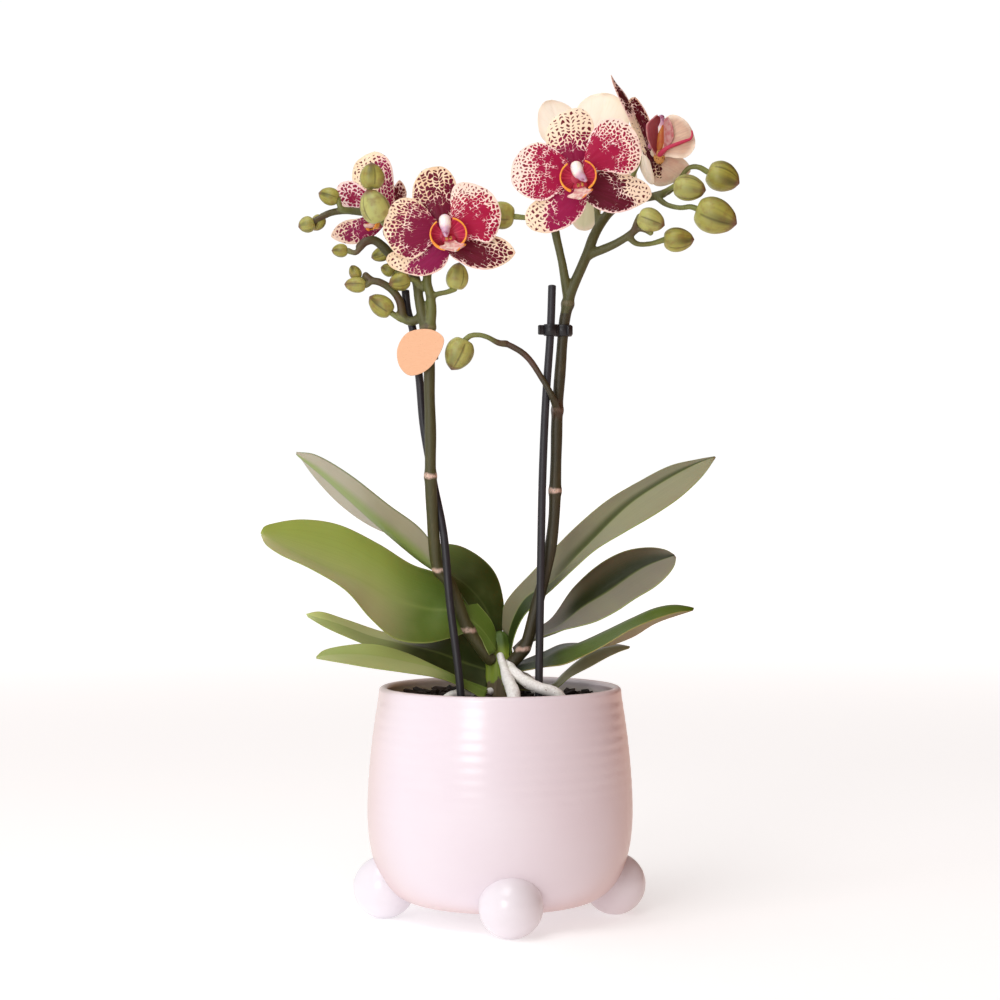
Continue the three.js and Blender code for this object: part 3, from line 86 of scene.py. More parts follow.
def spread(values, count):
    """The values drawn out evenly to count of them."""
    return np.interp(np.linspace(0, 1, count), np.linspace(0, 1, len(values)), values)


def wave(points, size, seed=0.0):
    """Smooth seeded unevenness between -1 and 1 with features of about size."""
    p = np.asarray(points, float) / size + seed
    x, y, z = p[..., 0], p[..., 1], p[..., 2]
    return (np.sin(x * 2.1 + 1.3 * np.sin(y * 1.7 + seed)) + np.sin(y * 2.3 + 1.1 * np.sin(z * 1.9 + x))
            + np.sin(z * 2.2 + 1.2 * np.sin(x * 1.4 - y))) / 3


def circle(sides):
    """The angles of evenly spaced points round a circle."""
    return np.arange(sides) / sides * FULL_TURN


def lathe(profile, sides):
    """Rows of points of a profile of distances from the vertical axis and heights, turned about it."""
    turn = circle(sides)
    return np.stack([profile[:, :1] * np.cos(turn), profile[:, :1] * np.sin(turn),
                     np.repeat(profile[:, 1:], sides, 1)], axis=2)


def rings(rows, columns, ends="closed"):
    """Faces between rows of points that each close on themselves. The ends are closed, open or joined."""
    faces = []
    for i in range(rows if ends == "joined" else rows - 1):
        here, there = i * columns, (i + 1) % rows * columns
        for j in range(columns):
            k = (j + 1) % columns
            faces.append((here + j, here + k, there + k, there + j))
    if ends == "closed":
        faces += [tuple(range(columns)), tuple(range((rows - 1) * columns, rows * columns))]
    return faces


def store_values(mesh, values):
    """Keeps named values of the points in the mesh, where the materials read them."""
    for key, data in values.items():
        layer = mesh.attributes.new(key, "FLOAT", "POINT")
        layer.data.foreach_set("value", np.asarray(data).astype(np.float32))


def new_object(name, data):
    made = bpy.data.objects.new(name, data)
    bpy.context.scene.collection.objects.link(made)
    return made


class Form:
    """Points, faces and named values of one mesh in the making."""

    def __init__(self):
        self.points, self.faces, self.values, self.count = [], [], {}, 0

    def add(self, points, faces, **values):
        points = np.asarray(points, float).reshape(-1, 3)
        self.faces += [tuple(k + self.count for k in f) for f in faces]
        self.points.append(points)
        for key in sorted(set(self.values) | set(values)):
            store = self.values.setdefault(key, [np.zeros(self.count)])
            value = np.asarray(values.get(key, 0.0), float).ravel()
            store.append(np.broadcast_to(value, (len(points),)))
        self.count += len(points)
        return self

    def build(self, name, look, slot, node, soft=True):
        """Makes the object, which stands for the CAD node."""
        mesh = bpy.data.meshes.new(name)
        mesh.from_pydata((np.vstack(self.points) * MM).tolist(), [], self.faces)
        store_values(mesh, {key: np.concatenate(parts) for key, parts in self.values.items()})
        work = bmesh.new()
        work.from_mesh(mesh)
        bmesh.ops.recalc_face_normals(work, faces=work.faces)
        work.to_mesh(mesh)
        work.free()
        if soft:
            mesh.shade_smooth()
        mesh.materials.append(look.material)
        made = new_object(name, mesh)
        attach(made, "root")
        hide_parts(node)
        return made


def tube_points(path, radius, sides=12, dome=0.8):
    """Points of a round tube with domed ends, and each ring's place along it."""
    path = np.asarray(path, float)
    radius = np.broadcast_to(np.asarray(radius, float), (len(path),))
    along = unit(np.gradient(path, axis=0))
    ends = np.array([0.98, 0.75, 0.4])
    first = path[0] - along[0] * (radius[0] * dome * ends)[:, None]
    last = path[-1] + along[-1] * (radius[-1] * dome * ends[::-1])[:, None]
    cut = np.sqrt(1 - ends**2)
    centres = np.vstack([first, path, last])
    wide = np.r_[radius[0] * cut, radius, radius[-1] * cut[::-1]]
    ways = np.vstack([np.repeat(along[:1], 3, 0), along, np.repeat(along[-1:], 3, 0)])
    side = np.cross(ways[0], [0.3, 0.9, 0.2])
    turn = circle(sides)[:, None]
    grid = []
    for centre, r, way in zip(centres, wide, ways):
        side = unit(side - way * np.dot(side, way))
        grid.append(centre + r * (np.cos(turn) * side + np.sin(turn) * np.cross(way, side)))
    run = np.r_[np.zeros(3), np.linspace(0, 1, len(path)), np.ones(3)]
    return np.array(grid), run


def add_tube(form, path, radius, sides=12, dome=0.8, **values):
    grid, run = tube_points(path, radius, sides, dome)
    form.add(grid, rings(len(grid), sides), run=np.repeat(run, sides), **values)


def add_sheet(form, grid, thickness, upper=1, **values):
    """A thin closed blade round a grid of points. face is 1 on its upper side and 0 underneath."""
    rows, columns = grid.shape[:2]
    normal = unit(np.cross(np.gradient(grid, axis=1), np.gradient(grid, axis=0))) * upper
    half = thickness[..., None] / 2
    top, under = grid + normal * half, grid - normal * half
    right = grid[:, -1] + unit(grid[:, -1] - grid[:, -2]) * half[:, -1] * 0.8
    left = grid[:, 0] + unit(grid[:, 0] - grid[:, 1]) * half[:, 0] * 0.8
    loop = np.concatenate([top, right[:, None], under[:, ::-1], left[:, None]], axis=1)
    round_ = 2 * columns + 2
    faces = rings(rows, round_, ends="open")
    for start in (0, (rows - 1) * round_):
        for j in range(columns - 1):
            faces.append((start + j, start + j + 1, start + 2 * columns - j - 1, start + 2 * columns - j))
        faces.append((start + columns - 1, start + columns, start + columns + 1))
        faces.append((start, start + 2 * columns + 1, start + 2 * columns))
    for key, value in values.items():
        value = np.broadcast_to(value, (rows, columns))
        values[key] = np.concatenate([value, value[:, -1:], value[:, ::-1], value[:, :1]], axis=1)
    side = np.concatenate([np.ones(columns), [0.5], np.zeros(columns), [0.5]])
    form.add(loop, faces, face=np.broadcast_to(side, (rows, round_)), **values)


# Materials. Colours of three numbers are screen values of 0 to 255.

def rgb(*screen):
    linear = [((v / 255 + 0.055) / 1.055) ** 2.4 if v > 10 else v / 255 / 12.92 for v in screen]
    return (*linear, 1.0)


class Nodes:
    """A node tree, with short ways to make its nodes."""

    def __init__(self, tree):
        self.tree = tree

    def put(self, socket, value):
        if isinstance(value, bpy.types.NodeSocket):
            self.tree.links.new(value, socket)
        elif isinstance(value, tuple) and socket.type == "RGBA" and len(value) == 3:
            socket.default_value = rgb(*value)
        else:
            socket.default_value = value

    def node(self, kind, **settings):
        """A new node. Settings that start with a capital letter are its inputs."""
        made = self.tree.nodes.new("ShaderNode" + kind)
        for key, value in settings.items():
            if key[0].isupper():
                self.put(made.inputs[key.replace("_", " ")], value)
            else:
                setattr(made, key, value)
        return made

    def numbered(self, kind, inputs, **settings):
        """A new node whose inputs are given by their places, as they share a name."""
        made = self.node(kind, **settings)
        for place, value in inputs.items():
            self.put(made.inputs[place], value)
        return made

    def value(self, name):
        """A named value of the points."""
        return self.node("Attribute", attribute_name=name).outputs["Fac"]

    def place(self, x=1000.0, y=1000.0, z=1000.0):
        """The point of the surface, in millimetres unless scaled."""
        point = self.node("TexCoord").outputs["Object"]
        return self.numbered("VectorMath", {0: point, 1: (x, y, z)}, operation="MULTIPLY").outputs[0]

    def vector(self, x, y=0.0, z=0.0):
        return self.node("CombineXYZ", X=x, Y=y, Z=z).outputs[0]

    def part(self, vector, axis):
        return self.numbered("SeparateXYZ", {0: vector}).outputs[axis]

    def math(self, operation, *numbers):
        return self.numbered("Math", dict(enumerate(numbers)), operation=operation).outputs[0]

    def times(self, first, *others):
        for other in others:
            first = self.math("MULTIPLY", first, other)
        return first

    def line(self, value, slope, start):
        return self.math("MULTIPLY_ADD", value, slope, start)

    def step(self, low, high, value):
        """0 below low, 1 above high, smooth between. low may be above high."""
        return self.node("MapRange", interpolation_type="SMOOTHSTEP", Value=value, From_Min=low,
                         From_Max=high).outputs[0]

    def mix(self, share, a, b):
        return self.numbered("Mix", {0: share, 6: a, 7: b}, data_type="RGBA").outputs[2]

    def tint(self, colour, target, *shares):
        """The colour, moved to the target by the product of the shares."""
        return self.mix(self.times(*shares), colour, target)

    def noise(self, vector, scale, detail=3.0, rough=0.55):
        made = self.node("TexNoise", Vector=vector, Scale=scale, Detail=detail, Roughness=rough)
        return made.outputs["Fac"]

    def streaks(self, a, b, fine_a, fine_b, detail=3.0, rough=0.55):
        """Noise in the plane of two values, each with a fineness of its own."""
        return self.noise(self.vector(self.times(a, fine_a), self.times(b, fine_b)), 1.0, detail, rough)

    def cells(self, vector, scale=1.0, random=1.0, **settings):
        made = self.node("TexVoronoi", **settings, Vector=vector, Scale=scale, Randomness=random)
        return made.outputs["Distance"]

    def bump(self, height, strength=0.4, distance=0.3, under=None):
        made = self.node("Bump", Strength=strength, Distance=distance * MM, Height=height)
        if under is not None:
            self.put(made.inputs["Normal"], under)
        return made.outputs[0]


class Look(Nodes):
    """A material."""

    def __init__(self, name, **constants):
        self.material = bpy.data.materials.new(name)
        self.material.use_nodes = True
        super().__init__(self.material.node_tree)
        self.set(**constants)

    def set(self, **inputs):
        for key, value in inputs.items():
            self.put(self.tree.nodes["Principled BSDF"].inputs[key.replace("_", " ")], value)
        return self


def glaze_look():
    look = Look("glaze", Coat_Weight=0.45, Coat_Roughness=0.2, IOR=1.45)
    spot = look.place()
    colour = look.mix(look.noise(spot, 0.03, 2), (231, 218, 227), (236, 227, 234))
    # Painted shade: the glaze turns a darker pinkish brown where the pot is seen at a slant, at its sides.
    slant_shade = look.step(0.3, 1, look.node("LayerWeight", Blend=0.5).outputs["Facing"])
    colour = look.tint(colour, (220, 184, 176), slant_shade, 0.8)
    colour = look.tint(colour, (236, 230, 237), look.value("foot"))
    # Painted light: the inner wall is paler than the glaze outside, to lift the shade it lies in.
    colour = look.tint(colour, (255, 244, 240), look.value("inside"))
    return look.set(Base_Color=colour, Roughness=look.line(look.noise(spot, 0.9, 4, 0.6), 0.05, 0.26),
                    Normal=look.bump(look.noise(spot, 0.35, 2), 0.2, 0.3))


def bark_look():
    look = Look("bark", Roughness=0.92)
    colour = look.mix(look.value("tone"), (16, 11, 8), (62, 40, 28))
    colour = look.tint(colour, (30, 20, 14), look.noise(look.place(350, 900, 900), 1.2, 5, 0.65), 0.7)
    return look.set(Base_Color=colour, Normal=look.bump(look.noise(look.place(), 1.4, 5, 0.7), 0.8, 0.7))


def leaf_look(name, top, base, near, under, edge=(150, 165, 90), reach=0.28, fold=-1, soft=0.05,
              band=None, wide_band=0.4, band_side=1):
    """The upper face is top behind the midrib and near before it, with soft as their blur. It is base up to
    reach along it and past fold across it; on most leaves base is darker, partly the leaf's own colour near
    the crown and partly painted shade deep in the plant. The lower face is under. A band may run beside the
    midrib: a pale green stripe on left_1, painted shade in the crease by the midrib on right_1 and right_2."""
    look = Look("leaf_" + name, Subsurface_Weight=0.06, Subsurface_Scale=0.004, Specular_IOR_Level=0.35)
    along, across = look.value("along"), look.value("across")
    spot = look.place()
    cloud = look.noise(spot, 0.045)
    veins = look.streaks(across, along, 30, 2, rough=0.6)
    upper = look.mix(look.step(-soft, soft, across), top, near)
    # Towards the crown the upper face turns to base: partly the leaf's own colour, partly painted shade deep
    # in the plant.
    upper = look.tint(upper, base, look.step(reach + 0.12, reach - 0.12, along),
                      look.step(fold - 0.05, fold + 0.05, across))
    upper = look.tint(upper, (39, 48, 26), look.step(0.35, 0.75, veins), 0.07)
    upper = look.tint(upper, (160, 170, 110), look.step(0.4, 0.8, cloud), 0.14)
    lower = look.tint(under, (110, 80, 80), look.step(0.4, 0.7, cloud), 0.14)
    lower = look.tint(lower, (90, 96, 60), look.step(0.45, 0.8, veins), 0.09)
    # The band is a pale green stripe on left_1, and painted shade in the crease by the midrib on right_1 and
    # right_2.
    if band:
        side = look.times(across, band_side)
        beside = look.times(look.step(-wide_band, -0.3 * wide_band, side), look.step(0.04, -0.04, side),
                            look.step(0.22, 0.42, along))
        upper, lower = look.tint(upper, band, beside), look.tint(lower, band, beside)
    colour = look.mix(look.step(0.3, 0.7, look.value("face")), lower, upper)
    wide = look.math("ABSOLUTE", across)
    colour = look.tint(colour, edge, look.step(0.09, 0, wide), 0.225)
    colour = look.tint(colour, edge, look.step(0.955, 0.995, wide), 0.75)
    return look.set(Base_Color=colour, Roughness=look.line(cloud, 0.14, 0.3),
                    Normal=look.bump(look.noise(spot, 1.8), 0.12, 0.25, look.bump(veins, 0.22, 0.5)))


def tepal_look():
    """Cream with crimson: dots along the veins that grow inwards into a net, and then close."""
    look = Look("tepal", Roughness=0.5, Subsurface_Weight=0.05, Subsurface_Scale=0.0004,
                Specular_IOR_Level=0.22)
    cover, warm, row, run = [look.value(name) for name in ("cover", "warm", "row", "run")]
    spot = look.place()
    cloud = look.noise(spot, 0.16)
    streak = look.streaks(row, run, 1.7, 0.2)
    shake = look.noise(look.vector(row, run), 0.7, 2)
    slide = look.streaks(row, run, 0.8, 0.25, 1)
    blotch = look.streaks(row, run, 0.4, 0.55, 2)
    net = look.cells(look.vector(look.math("ADD", row, look.times(shake, 0.5)),
                                 look.math("ADD", run, look.times(slide, 2.4))),
                     random=0.62, feature="DISTANCE_TO_EDGE", voronoi_dimensions="2D")
    gap = look.math("ADD", look.line(cover, -0.52, 0.48), look.line(shake, 0.22, -0.11))
    patchy = look.times(look.step(0.4, 0.6, cover), look.step(1.02, 0.86, cover), 0.65)
    gap = look.math("ADD", gap, look.times(look.line(blotch, -1, 0.47), patchy))
    mask = look.step(look.math("ADD", gap, -0.035), look.math("ADD", gap, 0.035), net)
    paper = look.mix(warm, (252, 214, 220), (250, 230, 200))
    paper = look.tint(paper, (255, 240, 218), cloud, 0.3)
    paper = look.tint(paper, (218, 168, 118), look.value("tan"), look.step(0.25, 0.65, cloud))
    # dark deepens the wine of a whole tepal: partly the tepal's own colour, partly painted shade, as on the
    # left front flower's left petal, which is far darker than its twin.
    wine = look.mix(look.value("dark"), (178, 2, 58), (70, 0, 10))
    wine = look.tint(wine, (132, 14, 78), look.value("plum"))
    wine = look.tint(wine, (206, 50, 126), look.step(0.42, 0.8, streak), 0.1)
    wine = look.tint(wine, (90, 10, 36), look.step(0.5, 0.75, cloud), 0.2)
    wine = look.tint(wine, look.mix(warm, (124, 14, 44), (92, 28, 16)), look.step(0.66, 0.4, cover), 0.8)
    back = look.tint((255, 246, 230), (249, 231, 206), look.step(0.5, 0.75, streak), 0.3)
    brownish = look.mix(look.step(0.35, 0.7, streak), (206, 164, 124), (172, 120, 88))
    back = look.tint(back, brownish, look.value("tan"))
    back = look.tint(back, (206, 134, 118), look.value("blush"), look.step(0.3, 0.7, cloud))
    back = look.tint(back, (210, 216, 156), look.value("green"), 0.6)
    back = look.tint(back, (248, 232, 212), look.value("lit"), 0.75)
    back = look.tint(back, wine, look.value("hub"))
    colour = look.mix(look.step(0.3, 0.7, look.value("face")), back, look.mix(mask, paper, wine))
    ridge = look.bump(streak, 0.25, 0.35)
    return look.set(Base_Color=colour, Normal=look.bump(look.noise(spot, 2.4, 2), 0.15, 0.15, ridge))


def lip_look():
    look = Look("lip", Subsurface_Weight=0.1, Subsurface_Scale=0.0005, Roughness=0.4, Specular_IOR_Level=0.3)
    rim, low = look.value("rim"), look.value("low")
    spot = look.place()
    cloud = look.noise(spot, 0.5)
    vein = look.noise(look.vector(look.value("row"), rim), 1, 2)
    red = look.mix(look.step(0.35, 0.7, vein), (186, 26, 72), (226, 84, 116))
    red = look.tint(red, (120, 16, 16), low, 0.7)
    gold = look.mix(look.step(0.35, 0.65, cloud), (244, 140, 62), (252, 176, 60))
    gold = look.tint(gold, (250, 178, 36), low, 0.6)
    colour = look.mix(look.step(0.45, 0.7, rim), red, gold)
    pink = look.mix(look.step(0.35, 0.65, cloud), (240, 216, 202), (214, 148, 144))
    colour = look.tint(colour, pink, look.value("pale"), look.step(0.7, 0.4, rim))
    dots = look.step(0.34, 0.24, look.cells(spot, 0.9))
    colour = look.tint(colour, look.mix(dots, (206, 150, 84), (96, 26, 20)), look.value("callus"))
    shade = look.mix(look.step(0.4, 0.6, vein), (120, 44, 36), (70, 16, 16))
    colour = look.tint(colour, shade, look.value("dim"))
    return look.set(Base_Color=colour, Normal=look.bump(cloud, 0.2, 0.3))


def column_look():
    look = Look("column", Subsurface_Weight=0.25, Subsurface_Scale=0.0015, Roughness=0.28, Coat_Weight=0.2)
    run = look.value("run")
    cloud = look.noise(look.place(), 0.5)
    colour = look.mix(cloud, (255, 250, 236), (250, 228, 232))
    colour = look.tint(colour, (200, 120, 160), look.step(0.2, 0, run))
    # Lavender, then dark purple towards the end: partly the column's own colour, partly painted shade under
    # it and in its cavity.
    colour = look.tint(colour, (206, 168, 192), look.step(0.62, 0.8, run))
    colour = look.tint(colour, (150, 70, 110), look.step(0.8, 0.95, run), look.step(0.4, 0.6, cloud))
    return look.set(Base_Color=colour, Normal=look.bump(cloud, 0.1, 0.2))


def stem_look():
    look = Look("stem", Subsurface_Weight=0.05, Subsurface_Scale=0.002, Roughness=0.5)
    spot = look.place()
    cloud = look.noise(spot, 0.09, 4)
    streak = look.noise(look.place(1600, 1600, 160), 1)
    colour = look.mix(cloud, (40, 36, 14), (62, 54, 27))
    colour = look.tint(colour, look.mix(streak, (120, 132, 64), (160, 164, 92)), look.value("fresh"))
    colour = look.tint(colour, (78, 48, 34), look.value("brown"), look.step(0.2, 0.7, cloud))
    colour = look.tint(colour, (120, 108, 74), look.step(0.55, 0.8, streak), 0.3)
    colour = look.tint(colour, look.mix(streak, (240, 216, 202), (176, 128, 104)), look.value("scar"),
                       look.step(0.25, 0.5, look.noise(spot, 0.8)))
    return look.set(Base_Color=colour, Normal=look.bump(streak, 0.3, 0.25))


def bud_look():
    look = Look("bud", Subsurface_Weight=0.08, Subsurface_Scale=0.002, Specular_IOR_Level=0.4)
    run = look.value("run")
    cloud = look.noise(look.place(), 0.25, 4)
    cosine, sine = look.times(look.value("cosine"), 5), look.times(look.value("sine"), 5)
    around = look.vector(cosine, sine, look.times(run, 0.8))
    stripe = look.noise(around, 1)
    colour = look.mix(look.step(0.42, 0.62, look.noise(around, 0.22, 1)), (90, 86, 28), (158, 152, 66))
    colour = look.tint(colour, (84, 84, 38), look.step(0.45, 0.7, stripe), 0.4)
    colour = look.tint(colour, (188, 186, 98), look.value("belly"), 0.55)
    colour = look.tint(colour, (200, 204, 130), look.value("young"), 0.65)
    colour = look.tint(colour, (126, 86, 50), look.step(0.45, 0.72, cloud), 0.5)
    colour = look.tint(colour, (112, 74, 50), look.step(0.78, 1, run))
    colour = look.tint(colour, (66, 60, 24), look.step(0.4, 1, look.value("seam")), 0.6)
    return look.set(Base_Color=colour, Roughness=look.line(cloud, 0.2, 0.3),
                    Normal=look.bump(stripe, 0.3, 0.3))


def root_look():
    look = Look("root", Roughness=0.45)
    spot = look.place()
    skin = look.noise(look.place(900, 900, 900), 1.1, 5, 0.65)
    colour = look.mix(look.step(0.3, 0.7, skin), (234, 230, 226), (255, 254, 250))
    colour = look.tint(colour, (190, 194, 166), look.step(0.45, 0.75, look.noise(spot, 0.16)), 0.35)
    colour = look.tint(colour, (150, 120, 116), look.step(0.66, 0.76, look.noise(spot, 0.8, 2)))
    return look.set(Base_Color=colour, Normal=look.bump(skin, 0.16, 0.2))


def crown_look():
    look = Look("crown", Subsurface_Weight=0.05, Subsurface_Scale=0.002, Roughness=0.55)
    streak = look.noise(look.place(1500, 1500, 150), 1, 4)
    colour = look.mix(streak, (104, 128, 26), (140, 158, 46))
    colour = look.tint(colour, look.mix(streak, (52, 76, 14), (78, 104, 28)), look.value("high"))
    colour = look.tint(colour, look.mix(streak, (54, 48, 26), (116, 98, 66)), look.value("dry"))
    return look.set(Base_Color=colour, Normal=look.bump(streak, 0.4, 0.35))


def moulded_look(name, gloss, texture, dark, light, rough, relief):
    """Dark plastic with fine streaks or grain."""
    look = Look(name, Specular_IOR_Level=gloss)
    grain = look.noise(look.place(*texture[0]), texture[1])
    return look.set(Base_Color=look.mix(grain, dark, light), Roughness=look.line(grain, *rough),
                    Normal=look.bump(grain, *relief))


def card_look():
    look = Look("card", Roughness=0.7)
    spot = look.place()
    fibre = look.noise(look.place(500, 500, 2600), 1, 4, 0.6)
    colour = look.mix(fibre, (232, 176, 136), (244, 196, 158))
    colour = look.tint(colour, (244, 190, 150), look.noise(spot, 0.08, 2), 0.35)
    colour = look.tint(colour, (180, 120, 84), look.step(0.16, 0.1, look.cells(spot, 0.9)), 0.35)
    colour = look.tint(colour, (214, 160, 120), look.value("rim"))
    return look.set(Base_Color=colour, Normal=look.bump(fibre, 0.15, 0.12))


GLAZE, BARK, TEPAL, LIP, COLUMN = glaze_look(), bark_look(), tepal_look(), lip_look(), column_look()
STEM, BUD, ROOT, CROWN, CARD = stem_look(), bud_look(), root_look(), crown_look(), card_look()
STICK = moulded_look("stick", 0.4, ((1400, 1400, 90), 1), (24, 24, 28), (52, 50, 56), (0.2, 0.32),
                     (0.3, 0.2))
CLIP = moulded_look("clip", 0.45, ((1000, 1000, 1000), 3), (16, 16, 18), (34, 34, 38), (0.16, 0.28),
                    (0.15, 0.12))


# The pot and what it holds

def globe(rows, columns, gap):
    """Rows of points of a ball of radius 1 that leaves out an angle of gap at its poles."""
    polar = np.linspace(gap, math.pi - gap, rows)
    return lathe(np.column_stack([np.sin(polar), np.cos(polar)]), columns)


def build_pot():
    wall = smooth_profile([(0.1, 7.5), (20, 7.5), (35, 7.5), (44, 8.6), (50, 11.5), (55, 16.5), (59, 24),
                           (61.6, 33.5), (62.9, 45), (63, 54), (62.3, 68), (61, 82), (59.4, 94),
                           (57.9, 104), (57.6, 106.8)], 190)
    rib_depth, rib_pitch = 0.062, 5.25
    height = wall[:, 1]
    fade = smoothstep(20, 88, height) * smoothstep(106, 103.5, height)
    ribs = (0.8 + 0.2 * np.sin(height * 0.31)) * np.sin(height * FULL_TURN / rib_pitch)
    wall[:, 0] += rib_depth * fade * ribs
    turn = np.radians(np.linspace(14, 190, 16))
    rim_reach, rim_height, rim_radius = 55.5, 107.1, 2.1
    rim = np.column_stack([rim_reach + rim_radius * np.cos(turn), rim_height + rim_radius * np.sin(turn)])
    inner = smooth_profile([(53.4, 104), (56.5, 84), (58.4, 60), (54, 36), (39, 18), (0.1, 15)], 40)
    profile, sides = np.vstack([wall, rim, inner]), 168
    # inside marks the inner wall, which the glaze paints paler as painted light.
    inside = np.repeat(np.arange(len(profile)) >= len(wall) + len(rim), sides)
    form = Form().add(lathe(profile, sides), rings(len(profile), sides), foot=0, inside=inside)
    feet, first_foot, foot_reach, foot_radius, foot_height = 4, math.radians(-84.8), 55, 14.8, 14.3
    for way in first_foot + circle(feet):
        foot = globe(36, 56, 0.02) * foot_radius
        foot += [foot_reach * math.cos(way), foot_reach * math.sin(way), foot_height]
        foot[..., 2] = np.maximum(foot[..., 2], 0)
        form.add(foot, rings(36, 56), foot=1, inside=0)
    form.build("pot_glazed", GLAZE, "glaze", "pot")


def take_shape(work):
    """The points and faces of a working mesh, which is then let go."""
    work.verts.index_update()
    points = np.array([v.co for v in work.verts])
    faces = [tuple(v.index for v in f.verts) for f in work.faces]
    work.free()
    return points, faces


def build_bark():
    fill = smooth_profile([(0.1, 104), (20, 104), (38, 104), (50, 103.6), (52.9, 102), (56, 84), (57.8, 60),
                           (53.3, 36), (38.3, 18.6), (0.1, 15.5)], 60)
    grid = lathe(fill, 72)
    grid[..., 2] += (0.7 * wave(grid, 4, 2) - 1) * (grid[..., 2] > 102)
    form = Form().add(grid, rings(60, 72), tone=0.1)
    rng = np.random.default_rng(7)
    chips, corners, fill_radius = 210, 16, 51.5
    for _ in range(chips):
        reach, way = 50 * math.sqrt(rng.uniform(0.02, 1)), rng.uniform(0, FULL_TURN)
        size = np.array([rng.uniform(4, 11), rng.uniform(3, 6.5), rng.uniform(1.6, 3.4)])
        reach = min(reach, fill_radius - size[0] / 2)
        work = bmesh.new()
        for _ in range(corners):
            work.verts.new(np.clip(unit(rng.normal(size=3)) * 0.62, -0.5, 0.5) * size)
        bmesh.ops.convex_hull(work, input=work.verts)
        loose = [v for v in work.verts if not v.link_faces]
        bmesh.ops.delete(work, geom=loose, context="VERTS")
        points, faces = take_shape(work)
        tilt = rng.normal(0, 0.22, 2)
        spin = rng.uniform(0, math.pi)
        turn = np.array(Vector((0, 0, 1)).rotation_difference(Vector((tilt[0], tilt[1], 1))).to_matrix())
        c, s = math.cos(spin), math.sin(spin)
        flat = np.array([[c, -s, 0], [s, c, 0], [0, 0, 1]])
        lift = rng.uniform(103, 105.2)
        points = points @ (turn @ flat).T + [reach * math.cos(way), reach * math.sin(way), lift]
        form.add(points, faces, tone=rng.uniform(0, 1) ** 1.6)
    form.build("bark_chips", BARK, "bark", "bark", soft=False)


# Roots: points and radii
ROOTS = {
    "front": ([(0, -4, 124), (1, -7, 121), (2.6, -11, 116.5), (4, -16, 113), (6.3, -24, 107.5),
               (7, -29, 100), (7, -30, 95)], (1.7, 2, 2.8, 3.2, 3.2, 2.8)),
    "right": ([(4, -3.5, 120.7), (5.6, -8.5, 118), (9.8, -14.5, 114.3), (13.8, -18.3, 111.9),
               (19.8, -20.3, 109.7), (26, -21, 107.9), (31, -21, 101), (31.5, -21, 95)],
              (1.8, 2.4, 2.7, 2.7, 2.6, 2.4)),
    "back": ([(4, 0, 116), (9, -2.5, 115), (14, -5.5, 112.5), (17, -8.5, 106), (17.5, -9, 97)],
             (1.6, 1.9, 2, 2, 1.8)),
    "left": ([(-2, -2, 107.5), (-10, -9, 106.5), (-20, -14.5, 107), (-25, -18.5, 105), (-29, -20, 99),
              (-30, -20, 95)], (1.7, 2, 2, 2, 1.8)),
}


def build_root(number, name, path, radii):
    count, sides = 46, 20
    grid, _ = tube_points(smooth_path(path, count), spread(radii, count), sides)
    middle = grid.mean(axis=1, keepdims=True)
    swell = 1 + 0.07 * wave(grid, 2.2, number * 3.1) + 0.05 * wave(grid, 0.9, number * 1.7)
    form = Form().add(middle + (grid - middle) * swell[..., None], rings(len(grid), sides))
    form.build(f"root_{name}_skin", ROOT, "root", f"root_{name}")


def build_crown():
    stem = smooth_profile([(0.1, 90), (5.5, 90), (7.2, 98), (7.4, 108), (7, 116), (6.2, 123), (5, 129),
                           (3.8, 133), (1.8, 135), (0.1, 135.4)], 70)
    grid, turn = lathe(stem, 60), circle(60)
    ridges = 1 + 0.03 * np.sin(turn * 9) + 0.03 * np.sin(turn * 5 + stem[:, 1:] * 0.3)
    grid[..., 0] *= ridges
    grid[..., 1] *= ridges * 0.78
    torn = 110 + 3 * np.sin(turn * 3 + 1) + 2 * np.sin(turn * 7)
    form = Form().add(grid, rings(70, 60), dry=grid[..., 2] < torn, high=smoothstep(124, 131, grid[..., 2]))
    form.build("crown_sheaths", CROWN, "crown", "crown")


